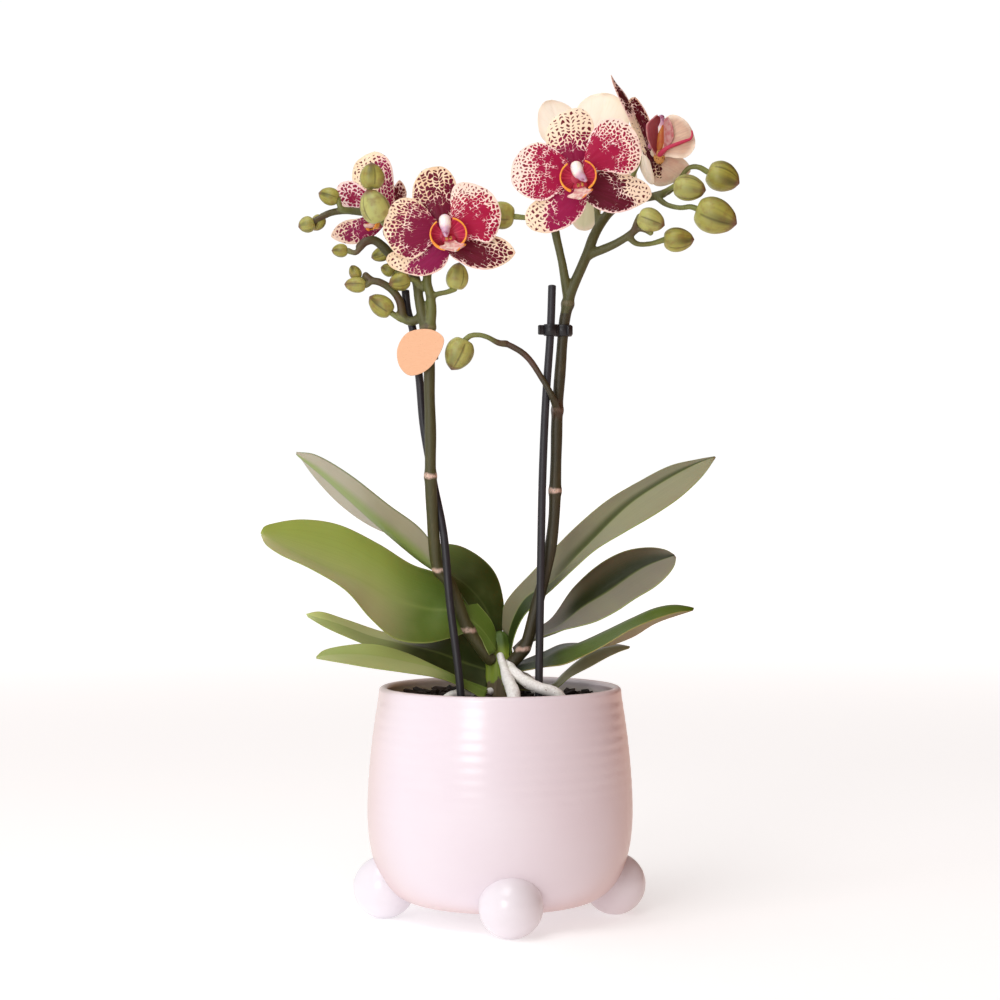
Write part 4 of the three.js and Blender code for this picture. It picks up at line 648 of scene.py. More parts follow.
# Leaves: the far margin, the midrib and the near margin, from the crown to the tip. sag is how far the near
# half hangs at the crown, and the share of the length where that ends.
LEAVES = {
    "left_1": dict(
        far=[(1, 4, 134), (1.6, 9, 149), (-3.5, 13, 164), (-18.5, 14, 175), (-38, 13, 177),
             (-60.5, 16, 184), (-77.5, 19, 195.5), (-89, 16, 208), (-97, 10.5, 219.5)],
        mid=[(-2, 1, 131), (-7.5, 2, 146), (-18, 3, 157.5), (-33, 3, 165.5), (-51.5, 4, 180),
             (-73.5, 6, 199.5), (-86, 8, 210.5), (-97.5, 10, 219.5)],
        near=[(-4, -2, 131.5), (-13, -1, 144.5), (-23.5, -3, 160.5), (-36, -8, 182.5),
              (-52.5, -11, 195.5), (-72, -11, 210.5), (-87.5, -2, 219), (-97.5, 9, 220.5)],
        look=dict(top=(112, 138, 62), base=(44, 58, 14), near=(104, 128, 54), under=(174, 168, 144),
                  edge=(100, 112, 66), reach=0.34, band=(142, 158, 92), wide_band=0.55, band_side=-1)),
    "left_2": dict(
        far=[(-1.5, -2, 131.5), (-3.5, -1, 139), (-11.5, 1, 149), (-21, 5, 157.5), (-30, 8, 162.5),
             (-42, 9, 166.5), (-58, 6, 176.5), (-77, -2, 186), (-93.5, -12, 188.5), (-105, -20, 187),
             (-109.8, -24.5, 185.3), (-111, -27, 182.5)],
        mid=[(-2, -6, 126), (-10, -5, 137), (-21, -5, 144.5), (-33, -6, 145.5), (-49, -10, 150),
             (-66.5, -16, 160), (-82, -21, 166.5), (-97.5, -25, 174), (-110.5, -27, 182)],
        near=[(-5, -9, 124.5), (-12, -8, 135.5), (-22.5, -11, 133), (-35, -20, 131),
              (-48.5, -27, 133.5), (-59.5, -32, 143), (-71, -36, 156.5), (-87, -38, 166.5),
              (-101.5, -34, 173), (-108.4, -30.5, 177.6), (-110.8, -27, 181.6)],
        look=dict(top=(154, 174, 82), base=(84, 108, 34), near=(184, 186, 132),
                  under=(150, 156, 100), reach=0.42, soft=0.8)),
    "left_3": dict(
        far=[(-4, 3, 123), (-12, 6, 131.5), (-22, 7, 134.5), (-31, 7, 133), (-42, 7, 131.8),
             (-55.5, 4, 134.5), (-73.5, -2, 141), (-85.5, -8, 145), (-91.5, -10, 144)],
        mid=[(-4, 0, 116), (-16, -1, 119.5), (-29, -3, 124.5), (-44.5, -6, 128.5), (-60.5, -9, 132.5),
             (-76, -11, 138.5), (-91, -10, 143.5)],
        near=[(-7, -5, 107), (-19.5, -8, 111.5), (-35.5, -12, 119.5), (-50.5, -16, 125),
              (-67.5, -18, 132), (-82, -14, 138), (-90.5, -10, 142.5)],
        look=dict(top=(214, 224, 148), base=(46, 58, 20), near=(176, 188, 122),
                  under=(170, 178, 120), reach=0.5)),
    "left_4": dict(
        far=[(-5.5, -6, 108.5), (-17.5, -10.5, 113.5), (-29.5, -15.5, 119.5), (-43, -19, 126),
             (-58, -21.5, 130.5), (-72, -22, 130), (-82.5, -21, 127.5), (-85.5, -23, 125)],
        mid=[(-6.5, -9, 106.5), (-17.5, -12, 112.5), (-29, -17, 117.5), (-42.5, -21, 121.5),
             (-59.5, -24, 125), (-74, -25, 125.5), (-85.5, -23, 124.5)],
        near=[(-7.5, -13, 104), (-18.5, -17, 110.5), (-29, -23, 115), (-43.5, -30, 118),
              (-59.5, -33, 120.5), (-74.5, -32, 123), (-85.5, -23, 124)],
        look=dict(top=(158, 172, 98), base=(104, 128, 48), near=(170, 178, 116),
                  under=(158, 164, 108))),
    "right_1": dict(
        far=[(0.6, 5, 137), (2.2, 8, 147.5), (17, 11, 164.5), (26.7, 14, 174.7), (37.6, 16, 185.4),
             (52.2, 19, 197.4), (66.7, 21, 205.9), (82.5, 22, 213.9), (94.6, 20.5, 216.8),
             (103.5, 18, 218.5)],
        mid=[(4, 1, 130), (6.5, 2, 140), (13, 3.5, 151), (25.3, 5, 158.2), (37.2, 7, 170.2),
             (45.6, 8.5, 178.5), (55.1, 10, 188), (64.6, 11.5, 196.4), (81.3, 14.5, 207.1),
             (94, 17, 213.8), (104, 18, 218.2)],
        near=[(5, -4, 124), (6.8, -4.5, 133), (11.5, -5, 143), (22, -4.5, 153.2), (33.4, -4, 163.6),
              (45.2, -3.5, 174), (59.4, -2, 182.5), (73.6, 1, 190.6), (86.3, 6, 199), (97.2, 12, 209),
              (104, 18, 217.7)],
        sag=(3, 0.55),
        # Painted sheen and shade: the grey of the upper face is a sheen painted over its green, and the dark
        # band is shade in the crease by the midrib.
        look=dict(top=(122, 118, 90), base=(44, 58, 14), near=(144, 142, 110), under=(120, 142, 66),
                  reach=0.3, fold=0.02, band=(66, 72, 20), wide_band=0.5, edge=(140, 158, 74))),
    "right_2": dict(
        far=[(6, 5, 127), (14.5, 8, 134.5), (24, 11, 140), (35.5, 13, 155.5), (48.5, 13, 167),
             (60.5, 12, 173), (72, 10, 174.7), (79.5, 7, 173.6), (83.2, 5, 171.5)],
        mid=[(7, 3, 124.5), (14.5, 3, 132), (27, 3, 136), (40, 4, 146), (51.5, 5, 153),
             (68.5, 6, 164.5), (83.6, 4.5, 170.8)],
        near=[(8, -4, 121), (14.5, -6, 130.5), (21.5, -7.5, 133.6), (28.5, -8.5, 136), (38, -9, 138.3),
              (45, -9, 140.3), (54.5, -9, 145), (63.9, -8.5, 151.2), (73.3, -6.5, 156.7),
              (79.4, -4, 162), (82.8, -0.5, 166.4), (84, 4, 170.2)],
        sag=(2, 0.5),
        # Painted sheen and shade: the grey-brown of the upper face is partly painted sheen, and the dark
        # band is shade in the crease by the midrib.
        look=dict(top=(92, 86, 66), base=(128, 120, 106), near=(132, 126, 110), under=(70, 90, 36),
                  reach=0.4, band=(36, 42, 6), wide_band=0.85)),
    "right_3": dict(
        far=[(7, 3, 119.5), (21, 6, 125), (29.5, 7, 128.5), (38.5, 6, 129), (48.5, 4, 127.5),
             (62.5, 2, 132), (74, 0, 139), (91, -8, 145.5)],
        mid=[(7, -1, 118), (20.5, -1, 121.5), (28, -2, 125.5), (39.5, -4, 130), (51, -6, 135.5),
             (62, -8, 141), (73.5, -9, 146), (82, -9, 147.5), (91.5, -8, 146.5)],
        near=[(7, -6, 116), (20.5, -11, 119), (29.5, -15, 120.5), (37.5, -18, 124), (48, -20, 129.5),
              (61.5, -20, 137.5), (72.5, -18, 142), (83.5, -14, 145), (91, -9, 145.5)],
        look=dict(top=(56, 72, 6), base=(36, 54, 4), near=(76, 98, 0), under=(150, 140, 104),
                  edge=(160, 150, 84))),
    "right_4": dict(
        far=[(6.5, 6, 112.5), (17, 10, 110.5), (25, 12, 109), (30, 15, 113.5), (38, 18, 120),
             (48.5, 20, 126), (56, 19, 127.5), (62.5, 14, 127)],
        mid=[(6.5, 2, 110), (17, 5, 109), (25.5, 8, 108.5), (34, 9, 116.5), (43.5, 10, 123),
             (53, 12, 126), (62.5, 14, 126.5)],
        near=[(6.5, -2, 107.5), (17, 2, 107), (26.5, 5, 107.5), (33.5, 4, 113), (43, 4, 118),
              (51.5, 6, 122.5), (58, 10, 125), (62, 13, 126)],
        look=dict(top=(104, 102, 58), base=(70, 70, 40), near=(146, 144, 104), under=(146, 142, 104))),
}


def build_leaf(name, shape):
    rows, half_columns = 72, 9
    far, mid, near = [smooth_path(shape[line], rows) for line in ("far", "mid", "near")]
    along = np.linspace(0, 1, rows)
    sag, sag_end = shape.get("sag", (0, 1))
    hang = np.outer(sag * np.maximum(0, 1 - along / sag_end), [0, -0.5, -0.85])
    share = np.sin(np.linspace(0, math.pi / 2, half_columns))
    halves = []
    for edge, bend in ((far, 0), (near, hang)):
        halves.append([mid + (edge - mid) * s + bend * 3.6 * s * (1 - s) for s in share])
    grid = np.stack(halves[0][::-1] + halves[1][1:], axis=1)
    across = np.r_[-share[::-1], share[1:]]
    right_rank = name.startswith("right")
    end = np.sqrt(1 - along**14)
    thick = (0.45 + 1.5 * (1 - np.abs(across)) ** 1.6) * (0.35 + 0.65 * end[:, None])
    form = Form()
    add_sheet(form, grid, thick, 1 if right_rank else -1, along=along[:, None], across=across)
    look = leaf_look(name, **shape["look"])
    form.build(f"leaf_{name}_blade", look, "leaf" if right_rank else "leaf_pale", f"leaf_{name}")


# Support sticks, clips and card

STICKS = {
    "left": [(-17, -21.5, 56), (-18.2, -21.5, 106), (-23.6, -17, 151), (-26.5, -13.5, 182),
             (-31.5, -11.5, 207), (-36, -11, 233), (-38, -11, 255.5), (-41, -10.5, 278),
             (-43.5, -10, 287), (-44.5, -10, 296)],
    "right": [(18, -14, 56), (18.2, -14, 104), (18.9, -14, 151), (19.9, -14, 207), (21.5, -14, 245),
              (23.7, -14, 277.5), (24.4, -14, 298)],
}

# Collars: middle, inner and outer radius. Blocks: middle, size, turn about the vertical and rounding.
CLIPS = {
    "right": (277.4, [(29.6, -9, 3, 4.3), (23.5, -14, 1.95, 3.2)],
              [(26.6, -11.6, (5.2, 3.4, 5.6), 0.72, 0.6), (20.2, -15, (5, 1.8, 4.6), 0.42, 0.6),
               (32.6, -12, (3.6, 1.8, 4.6), 0.9, 0.6), (18.4, -16.4, (0.5, 0.9, 4.2), 0.42, 0.2),
               (19.7, -15.85, (0.5, 0.9, 4.2), 0.42, 0.2), (21, -15.3, (0.5, 0.9, 4.2), 0.42, 0.2)]),
    "left": (266, [(-33, -18, 3, 4.2), (-39.2, -10.8, 1.95, 3.2)],
             [(-36.4, -14.2, (5.6, 3.4, 5.6), -0.86, 0.6), (-42, -12.6, (4.6, 1.8, 4.6), -0.62, 0.6),
              (-31.4, -13.4, (4, 1.8, 4.6), 0.5, 0.6)]),
}


def build_stick(name, path):
    form = Form()
    add_tube(form, smooth_path(path, 90), 1.87, sides=18, dome=0.35)
    form.build(f"stake_{name}_rod", STICK, "stick", f"stake_{name}")


def add_collar(form, middle, inner, outer):
    """A short upright ring with rounded edges."""
    half, soft = 2.7, 0.35
    loop = [(inner + soft, half), (outer - soft, half), (outer, half - soft), (outer, soft - half),
            (outer - soft, -half), (inner + soft, -half), (inner, soft - half), (inner, half - soft)]
    form.add(lathe(np.array(loop), 36) + middle, rings(len(loop), 36, ends="joined"))


def add_block(form, middle, size, turn, soft):
    work = bmesh.new()
    bmesh.ops.create_cube(work, size=1)
    bmesh.ops.scale(work, vec=size, verts=work.verts)
    bmesh.ops.bevel(work, geom=work.edges[:], offset=soft, segments=3, profile=0.5, affect="EDGES")
    points, faces = take_shape(work)
    c, s = math.cos(turn), math.sin(turn)
    form.add(points @ np.array([[c, s, 0], [-s, c, 0], [0, 0, 1]]) + middle, faces)


def build_clip(name, height, collars, blocks):
    form = Form()
    for x, y, inner, outer in collars:
        add_collar(form, (x, y, height), inner, outer)
    for x, y, size, turn, soft in blocks:
        add_block(form, (x, y, height), size, turn, soft)
    form.build(f"clip_{name}_moulded", CLIP, "clip", f"clip_{name}")


def build_card():
    outline = [(10.3, 5.9), (7.4, 9.2), (1.9, 10.8), (-7, 8.8), (-11.4, 1.6), (-10.4, -6.6), (-6, -10.8),
               (0.6, -9.4), (6.2, -4.2)]
    line = smooth_profile(outline[-3:] + outline + outline[:4], 600)
    away = np.linalg.norm(line - outline[0], axis=1)
    loop = line[60 + np.argmin(away[60:240]):360 + np.argmin(away[360:]):3]
    rows = []
    for inset, depth in ((0.012, -0.55), (0, -0.4), (0, 0.4), (0.012, 0.55)):
        side = loop * (1 - inset) + [-36.3, 266.6]
        rows.append(np.insert(side, 1, depth - 22.85, axis=1))
    form = Form().add(rows, rings(4, len(loop)), rim=np.repeat([0, 1, 1, 0], len(loop)))
    form.build("tag_card", CARD, "card", "tag", soft=False)


# Flower spikes. Runs: points, radii and how fresh the green is. Stalks: points. Nodes: point, radius and how
# strong the dry ring is. Brown: point and reach.
SPIKES = {
    "left": dict(
        runs=[
            ([(-4.5, -4.5, 122), (-6.5, -5.5, 124.5), (-10.5, -6.5, 130), (-15.5, -7.5, 137.5),
              (-19.5, -8.5, 147.5), (-24.5, -9, 159.5), (-29, -10, 165), (-31, -12.5, 179),
              (-32, -15.5, 195.5), (-32.5, -17.5, 209.5), (-32.5, -18, 230.5), (-33, -18, 249.5),
              (-33, -18, 263.5), (-33.5, -18, 279)], (3.1, 2.8, 2.6), 0.1),
            ([(-33.5, -18, 275), (-32, -18, 285.5), (-32.5, -17.5, 293), (-34, -17, 299.5),
              (-33.5, -16, 306.5), (-31, -16, 314), (-27, -17.5, 320.5),
              (-25.3, -19.8, 323.6)], (2.6, 2.3, 2, 1.35), 0.4),
            ([(-33.5, -18, 274), (-36.5, -17, 285), (-38, -16, 292.5), (-39, -14, 299.5),
              (-43, -11, 309.5), (-48, -9, 320), (-52.5, -9, 328), (-58.5, -10, 332.5), (-65, -11, 333),
              (-72.5, -12, 333.5), (-79, -13, 332.5), (-83, -14, 330.5),
              (-87, -15, 328.5)], (2.6, 2.3, 2, 2, 1.35), 0.2),
            ([(-35.5, -17, 284.5), (-41, -14.5, 281.5), (-45, -14, 283), (-47, -15, 291),
              (-50.5, -16, 296), (-56, -17, 299.5), (-60, -17, 300.5),
              (-63, -17, 303)], (2.2, 2, 1.6), 0.2),
            ([(-42.5, -11, 309), (-47.5, -13, 311.5), (-51.5, -15, 313), (-54.5, -17, 316),
              (-59, -19, 319), (-63, -20, 318), (-65.5, -20, 315.5)], (2, 2.3, 2), 0.1),
        ],
        stalks=[
            [(-60, -17, 300.5), (-61.5, -17.5, 298.5), (-63, -17, 298)],
            [(-62, -17, 302), (-65.5, -16, 300.5), (-66.5, -16, 301.5)],
            [(-64.5, -20, 316.5), (-67, -20.5, 313), (-71, -20, 314)],
            [(-41, -14.5, 281.5), (-44, -14, 281.5), (-47, -14.5, 282.5), (-51, -14, 285.5)],
            [(-33, -17.5, 292.5), (-29, -18, 294), (-24.5, -17.5, 295), (-21, -17, 296.5)],
            [(-51.5, -9.5, 326), (-54, -16, 326.5), (-55, -21.5, 328)],
            [(-60, -10.5, 333), (-62, -15, 336.5), (-61, -18.5, 342), (-60.5, -19.8, 343.5)],
            [(-70, -12, 333.5), (-74.5, -14.5, 334.5), (-76, -14, 339)],
            [(-78, -13, 332.7), (-81, -12, 332.4), (-83.6, -11.5, 331)],
            [(-49, -9, 321.5), (-50.5, -5, 327), (-52.2, 0, 333.2)],
            [(-49, -14, 312), (-50.5, -12.5, 313.5), (-52, -12, 314.5)],
            [(-41, -11.5, 305), (-45, -11, 304), (-49.5, -12, 304.5)],
            [(-36, -15.5, 297), (-39, -17.5, 300), (-42.5, -19, 301)],
        ],
        nodes=[((-14.9, -7.5, 136.4), 3.5, 0.8), ((-28.6, -9.9, 164.5), 3.3, 0.9),
               ((-32.5, -17.5, 209), 3.3, 1), ((-33.4, -18, 278.5), 3.4, 0.1)],
        brown=[((-83, -14, 331), 12), ((-65.5, -20, 315.5), 10), ((-60, -17, 301), 12),
               ((-47, -15, 290), 8)]),
    "right": dict(
        runs=[
            ([(4.5, -3.5, 119), (7, -4.2, 122), (10, -5.5, 125.5), (12.5, -6.5, 130), (15, -7.5, 139),
              (18, -8, 150.5), (21.5, -8, 164), (24, -8.5, 176.5), (25.5, -9, 190.5), (26, -9, 203.5),
              (26.5, -9, 221.5), (27, -9, 240), (28.5, -9, 260.5), (29.5, -9, 274), (30.5, -9, 283),
              (32, -9.5, 290)], (3, 2.8, 2.6), 0),
            ([(31, -9.2, 286), (33, -10, 294.5), (38.5, -9, 307.5), (41.5, -8, 314.5), (44, -7, 321.5),
              (47.5, -5, 328), (53.5, -1, 335.5), (62, 3, 340), (72, 5, 342),
              (78, 5, 343.5)], (2.6, 2.5, 2.3, 2), 0.15),
            ([(32, -9.5, 292), (29.5, -11, 307.5), (28, -11.5, 314.5), (26.5, -12, 321),
              (25.5, -12.5, 328.5), (28.5, -14, 338.5), (33, -17.5, 345),
              (36, -19.8, 348.3)], (2.3, 2, 2, 1.35), 0.2),
            ([(40.5, -8.2, 312), (44, -8.5, 314), (48, -9, 315.5), (54, -11, 318), (60, -13, 321.5),
              (65, -15, 325.5)], (2.2, 1.8), 0.2),
            ([(26.8, -9.2, 238), (26.2, -13, 241.5), (24, -17.3, 247), (19.4, -16.8, 255),
              (14.3, -15.5, 262.9), (10.5, -15, 266.7), (5, -14.5, 270),
              (2.1, -14.2, 271.2)], (2, 1.5, 1.5, 1.5), 0),
        ],
        stalks=[
            [(76, 5, 343), (81, 6, 345), (86, 5.5, 351), (90, 5, 355.8), (94.5, 4, 356),
             (99, 4, 353.6)],
            [(74, 5, 342.5), (79, 1.5, 338), (85.5, -2, 336), (90, -3.7, 336.3), (93.5, -4, 335.2)],
            [(77, 5, 343.5), (80.2, 1, 345.2), (82.8, -3, 346.2)],
            [(60, -13, 321.5), (64, -13, 318), (70.5, -12, 318), (77.5, -12, 320)],
            [(62.5, -14.5, 323.5), (63.6, -16.6, 327.5), (65.2, -17, 330.4)],
            [(64, -15, 325), (67.5, -16.5, 324), (70.5, -18, 322.5)],
            [(3, -14.2, 271), (-0.5, -15, 271.3), (-6, -16, 274), (-10, -16, 275), (-14, -16, 274.5),
             (-17, -16, 272)],
            [(25.5, -12.5, 328.5), (19, -13, 329.5), (12.5, -14, 330), (6.5, -14, 330.5)],
            [(46.5, -5.5, 326), (45.5, 0, 338), (42.5, 5, 352), (41, 7.4, 360)],
            [(58, 1.5, 338), (61.5, 3, 347), (64.5, 4.2, 355), (67, 4.6, 361)],
        ],
        nodes=[((11.4, -6.1, 127.4), 3.4, 0.8), ((26, -9, 202), 3.3, 0.9), ((27.2, -9, 240), 3.3, 0.12),
               ((31.8, -9.4, 290), 3.3, 0.1)],
        brown=[((3, -14, 270), 10), ((14, -11.5, 261), 14), ((66, -15, 325), 9), ((26.8, -9, 240), 7)]),
}


def build_spike(name, plan):
    form, marks = Form(), []
    for path, radii, fresh in plan["runs"]:
        count = max(int(running_length(path)[-1] / 0.9), 8)
        centre, wide = smooth_path(path, count), spread(radii, count)
        for place, radius, _ in plan["nodes"]:
            near = np.linalg.norm(centre - place, axis=1)
            wide = np.maximum(wide, wide + (radius - wide) * np.exp(-(near / 1.9) ** 2))
        grid, _ = tube_points(centre, wide * (1 + 0.03 * np.sin(np.arange(count) * 0.21)), 16)
        form.add(grid, rings(len(grid), 16))
        marks += [(p, fresh) for p in centre]
    for path in plan["stalks"]:
        count = max(int(running_length(path)[-1] / 0.7), 6)
        centre = smooth_path(path, count)
        grid, _ = tube_points(centre, spread([1.75, 1.3, 1.25, 1.5], count), 14)
        form.add(grid, rings(len(grid), 14))
        marks += [(p, 0.25 + 0.6 * k / count) for k, p in enumerate(centre)]
    made = form.build(f"spike_{name}_stems", STEM, "stem", f"spike_{name}")
    fuse = made.modifiers.new("fuse", "REMESH")
    fuse.mode, fuse.voxel_size = "VOXEL", 0.55 * MM
    soften = made.modifiers.new("soften", "SMOOTH")
    soften.factor, soften.iterations = 0.5, 4
    fused = bpy.data.meshes.new_from_object(made.evaluated_get(bpy.context.evaluated_depsgraph_get()))
    made.modifiers.clear()
    made.data = fused
    fused.materials.clear()
    fused.materials.append(STEM.material)
    fused.shade_smooth()
    tree = kdtree.KDTree(len(marks))
    for k, (p, _) in enumerate(marks):
        tree.insert(Vector(p), k)
    tree.balance()
    points = np.zeros(len(fused.vertices) * 3)
    fused.vertices.foreach_get("co", points)
    points = points.reshape(-1, 3) / MM
    fresh = [marks[tree.find(Vector(p))[1]][1] for p in points]
    scar, brown = np.zeros(len(points)), np.zeros(len(points))
    for place, radius, strength in plan["nodes"]:
        away = np.abs(points[:, 2] - place[2] + 0.6 * wave(points, 1.6, place[0]))
        near = np.linalg.norm(points - place, axis=1) < radius * 2
        scar = np.maximum(scar, strength * near * smoothstep(1.5, 0.5, away))
    for place, reach in plan["brown"]:
        brown = np.maximum(brown, smoothstep(reach, reach * 0.3, np.linalg.norm(points - place, axis=1)))
    store_values(fused, dict(fresh=fresh, scar=scar, brown=brown))


# Flowers. Margins, tips and dark middles are offsets to the right and up from the flower's middle, as seen
# from the front.

# On the left front flower the left petal's high dark is painted shade from the lip beside it.
LEFT_FRONT = [
    dict(plum=0.15, back=24, wide=2.2, long=1.85, dots=0.42, fade=11, warm=1, tan=0.55, dark=0.85,
         left=[(-1.4, 0.7), (-5.4, 3.4), (-8.6, 6.9), (-12.2, 9.9), (-14.9, 12.8), (-15.3, 17.1),
               (-14.9, 19.9), (-13.8, 22.7), (-12.4, 25.1), (-10.8, 26.8), (-9.1, 27.7), (-7.5, 27.6)],
         right=[(1.1, 1.3), (3, 5.5), (4.3, 10.2), (5, 14.8), (5.1, 19), (4.6, 21.8), (3.5, 24.1),
                (2, 26.3), (0, 28), (-2.1, 28.8), (-4.2, 28.7), (-5.7, 27.8)],
         tip=(-6.6, 27.1), core=[(-1.2, 1.3), (-5.6, 3.8), (-8.8, 7.2), (-9.4, 10), (-7, 12),
               (-4.2, 13), (-1, 13.4), (1.8, 14.1), (4.2, 13.9), (4.4, 9.7), (2.3, 5.1)]),
    dict(plum=0.12, petal=True, back=4, wide=1.6, long=1.9, dots=0.3, fade=7, warm=0.55, dark=0.05,
         left=[(1.6, 1.8), (2.4, 7.4), (2.4, 12), (2.8, 16.2), (3.9, 19.2), (6, 20.7), (9, 21.2),
               (12.5, 20.7), (15.8, 19.6), (19, 18.1), (21.8, 15.8), (23.9, 12.7), (25.2, 9.5)],
         right=[(1.8, -1), (5.5, -3.5), (9.3, -5.1), (12.8, -5.4), (15.5, -5.7), (17.6, -6.5),
                (19.7, -6.7), (21.3, -5.9), (23, -3.8), (24.4, -1), (25.4, 2.5)],
         tip=(25.7, 6.2), core=[(1.8, 1.3), (5.1, 4.6), (7.9, 7.4), (9.7, 8.8), (12.5, 9), (16.2, 9.5),
               (16.7, 7.4), (14.8, 5.5), (18.1, 4.6), (20.9, 4.4), (21.6, 2.7), (19.5, 0.7), (19, -1.9),
               (16.7, -3.8), (13.4, -4.7), (8.8, -4.2), (4.2, -1.9)]),
    dict(plum=0.35, petal=True, back=5, wide=1.5, long=2.1, dots=0.36, fade=7, warm=0.9, tan=0.45,
         dark=0.7,
         left=[(-1.9, -1.2), (-4.2, -4.2), (-6.5, -7.7), (-9.3, -10.5), (-12.6, -13.1), (-15.8, -14.3),
               (-19.1, -13.9), (-21.9, -12.5), (-24.2, -10.5), (-26.1, -7.9), (-27.4, -5.2),
               (-28.4, -2.8)],
         right=[(-1.9, 1.1), (-5.1, 4.6), (-7.9, 8.1), (-11.2, 11.3), (-14.4, 13.2), (-17.5, 14),
                (-20.5, 13.8), (-23, 12.5), (-25.1, 10.4), (-26.7, 7.6), (-27.9, 4.6), (-28.5, 2)],
         tip=(-28.7, -0.5), core=[(-1.4, 0.9), (-5.6, 5.1), (-9.3, 6.9), (-14, 7.2), (-15.8, 5.3),
               (-14.2, 2.3), (-16.8, 0), (-19.5, -2.4), (-20.5, -5.6), (-18.6, -8.9), (-15.4, -11),
               (-11.2, -9.8), (-7, -7.5), (-3.7, -3.8)]),
    dict(plum=0.75, back=14, wide=1.6, long=1.8, dots=0.3, fade=3, warm=1, tan=0.4, dark=0.45,
         left=[(-2.4, -2.8), (-7, -6.6), (-12.1, -9.1), (-17.2, -10), (-21.9, -10.3), (-25.4, -11.2),
               (-27, -12.8)],
         right=[(1.1, -4.2), (1.8, -8.4), (1.6, -12.1), (0.7, -15.4), (-1.4, -18.2), (-4.7, -20.3),
                (-8.4, -21.6), (-12.6, -22), (-16.8, -21.2), (-20.9, -19.9), (-24.2, -18.6),
                (-26.3, -16.8)],
         tip=(-27.4, -14.7), core=[(-2.4, -2.8), (1.8, -4.2), (2.1, -12.6), (0.7, -15.8), (-1.9, -18.4),
               (-5.1, -20.2), (-8.9, -21.4), (-13, -21.3), (-15.6, -20.3), (-14.9, -17.7),
               (-13.3, -14.9), (-11.6, -12.4), (-8.9, -9.3), (-5.6, -6.1)]),
    dict(plum=0.05, back=16, wide=1.7, long=2.3, dots=0.42, fade=7, warm=0.9, tan=0.35, dark=0.88,
         tip_y=2,
         left=[(3.2, -1.2), (7.4, -3.3), (12.1, -3.9), (16.7, -3.8), (20.4, -3.5), (23.2, -3.5),
               (26, -4.3), (28.8, -6), (30.9, -8.2)],
         right=[(0.7, -4.2), (0.7, -8.4), (1.8, -11.7), (4.2, -14), (7.4, -15.8), (10.7, -17.5),
                (14.4, -18.5), (18.1, -18.9), (21.3, -18.6), (24.6, -17.6), (27.9, -15.9),
                (30.6, -13.8)],
         tip=(32.3, -11), core=[(3.2, -3.3), (8.3, -5.4), (13, -6.6), (16.2, -8.6), (19.5, -11.2),
               (22.3, -12.8), (20.4, -14.2), (17.6, -15.1), (17.6, -17), (14.8, -17.9), (11.1, -17.2),
               (7.4, -15.6), (3.7, -13.3), (1.1, -9.3)]),
]
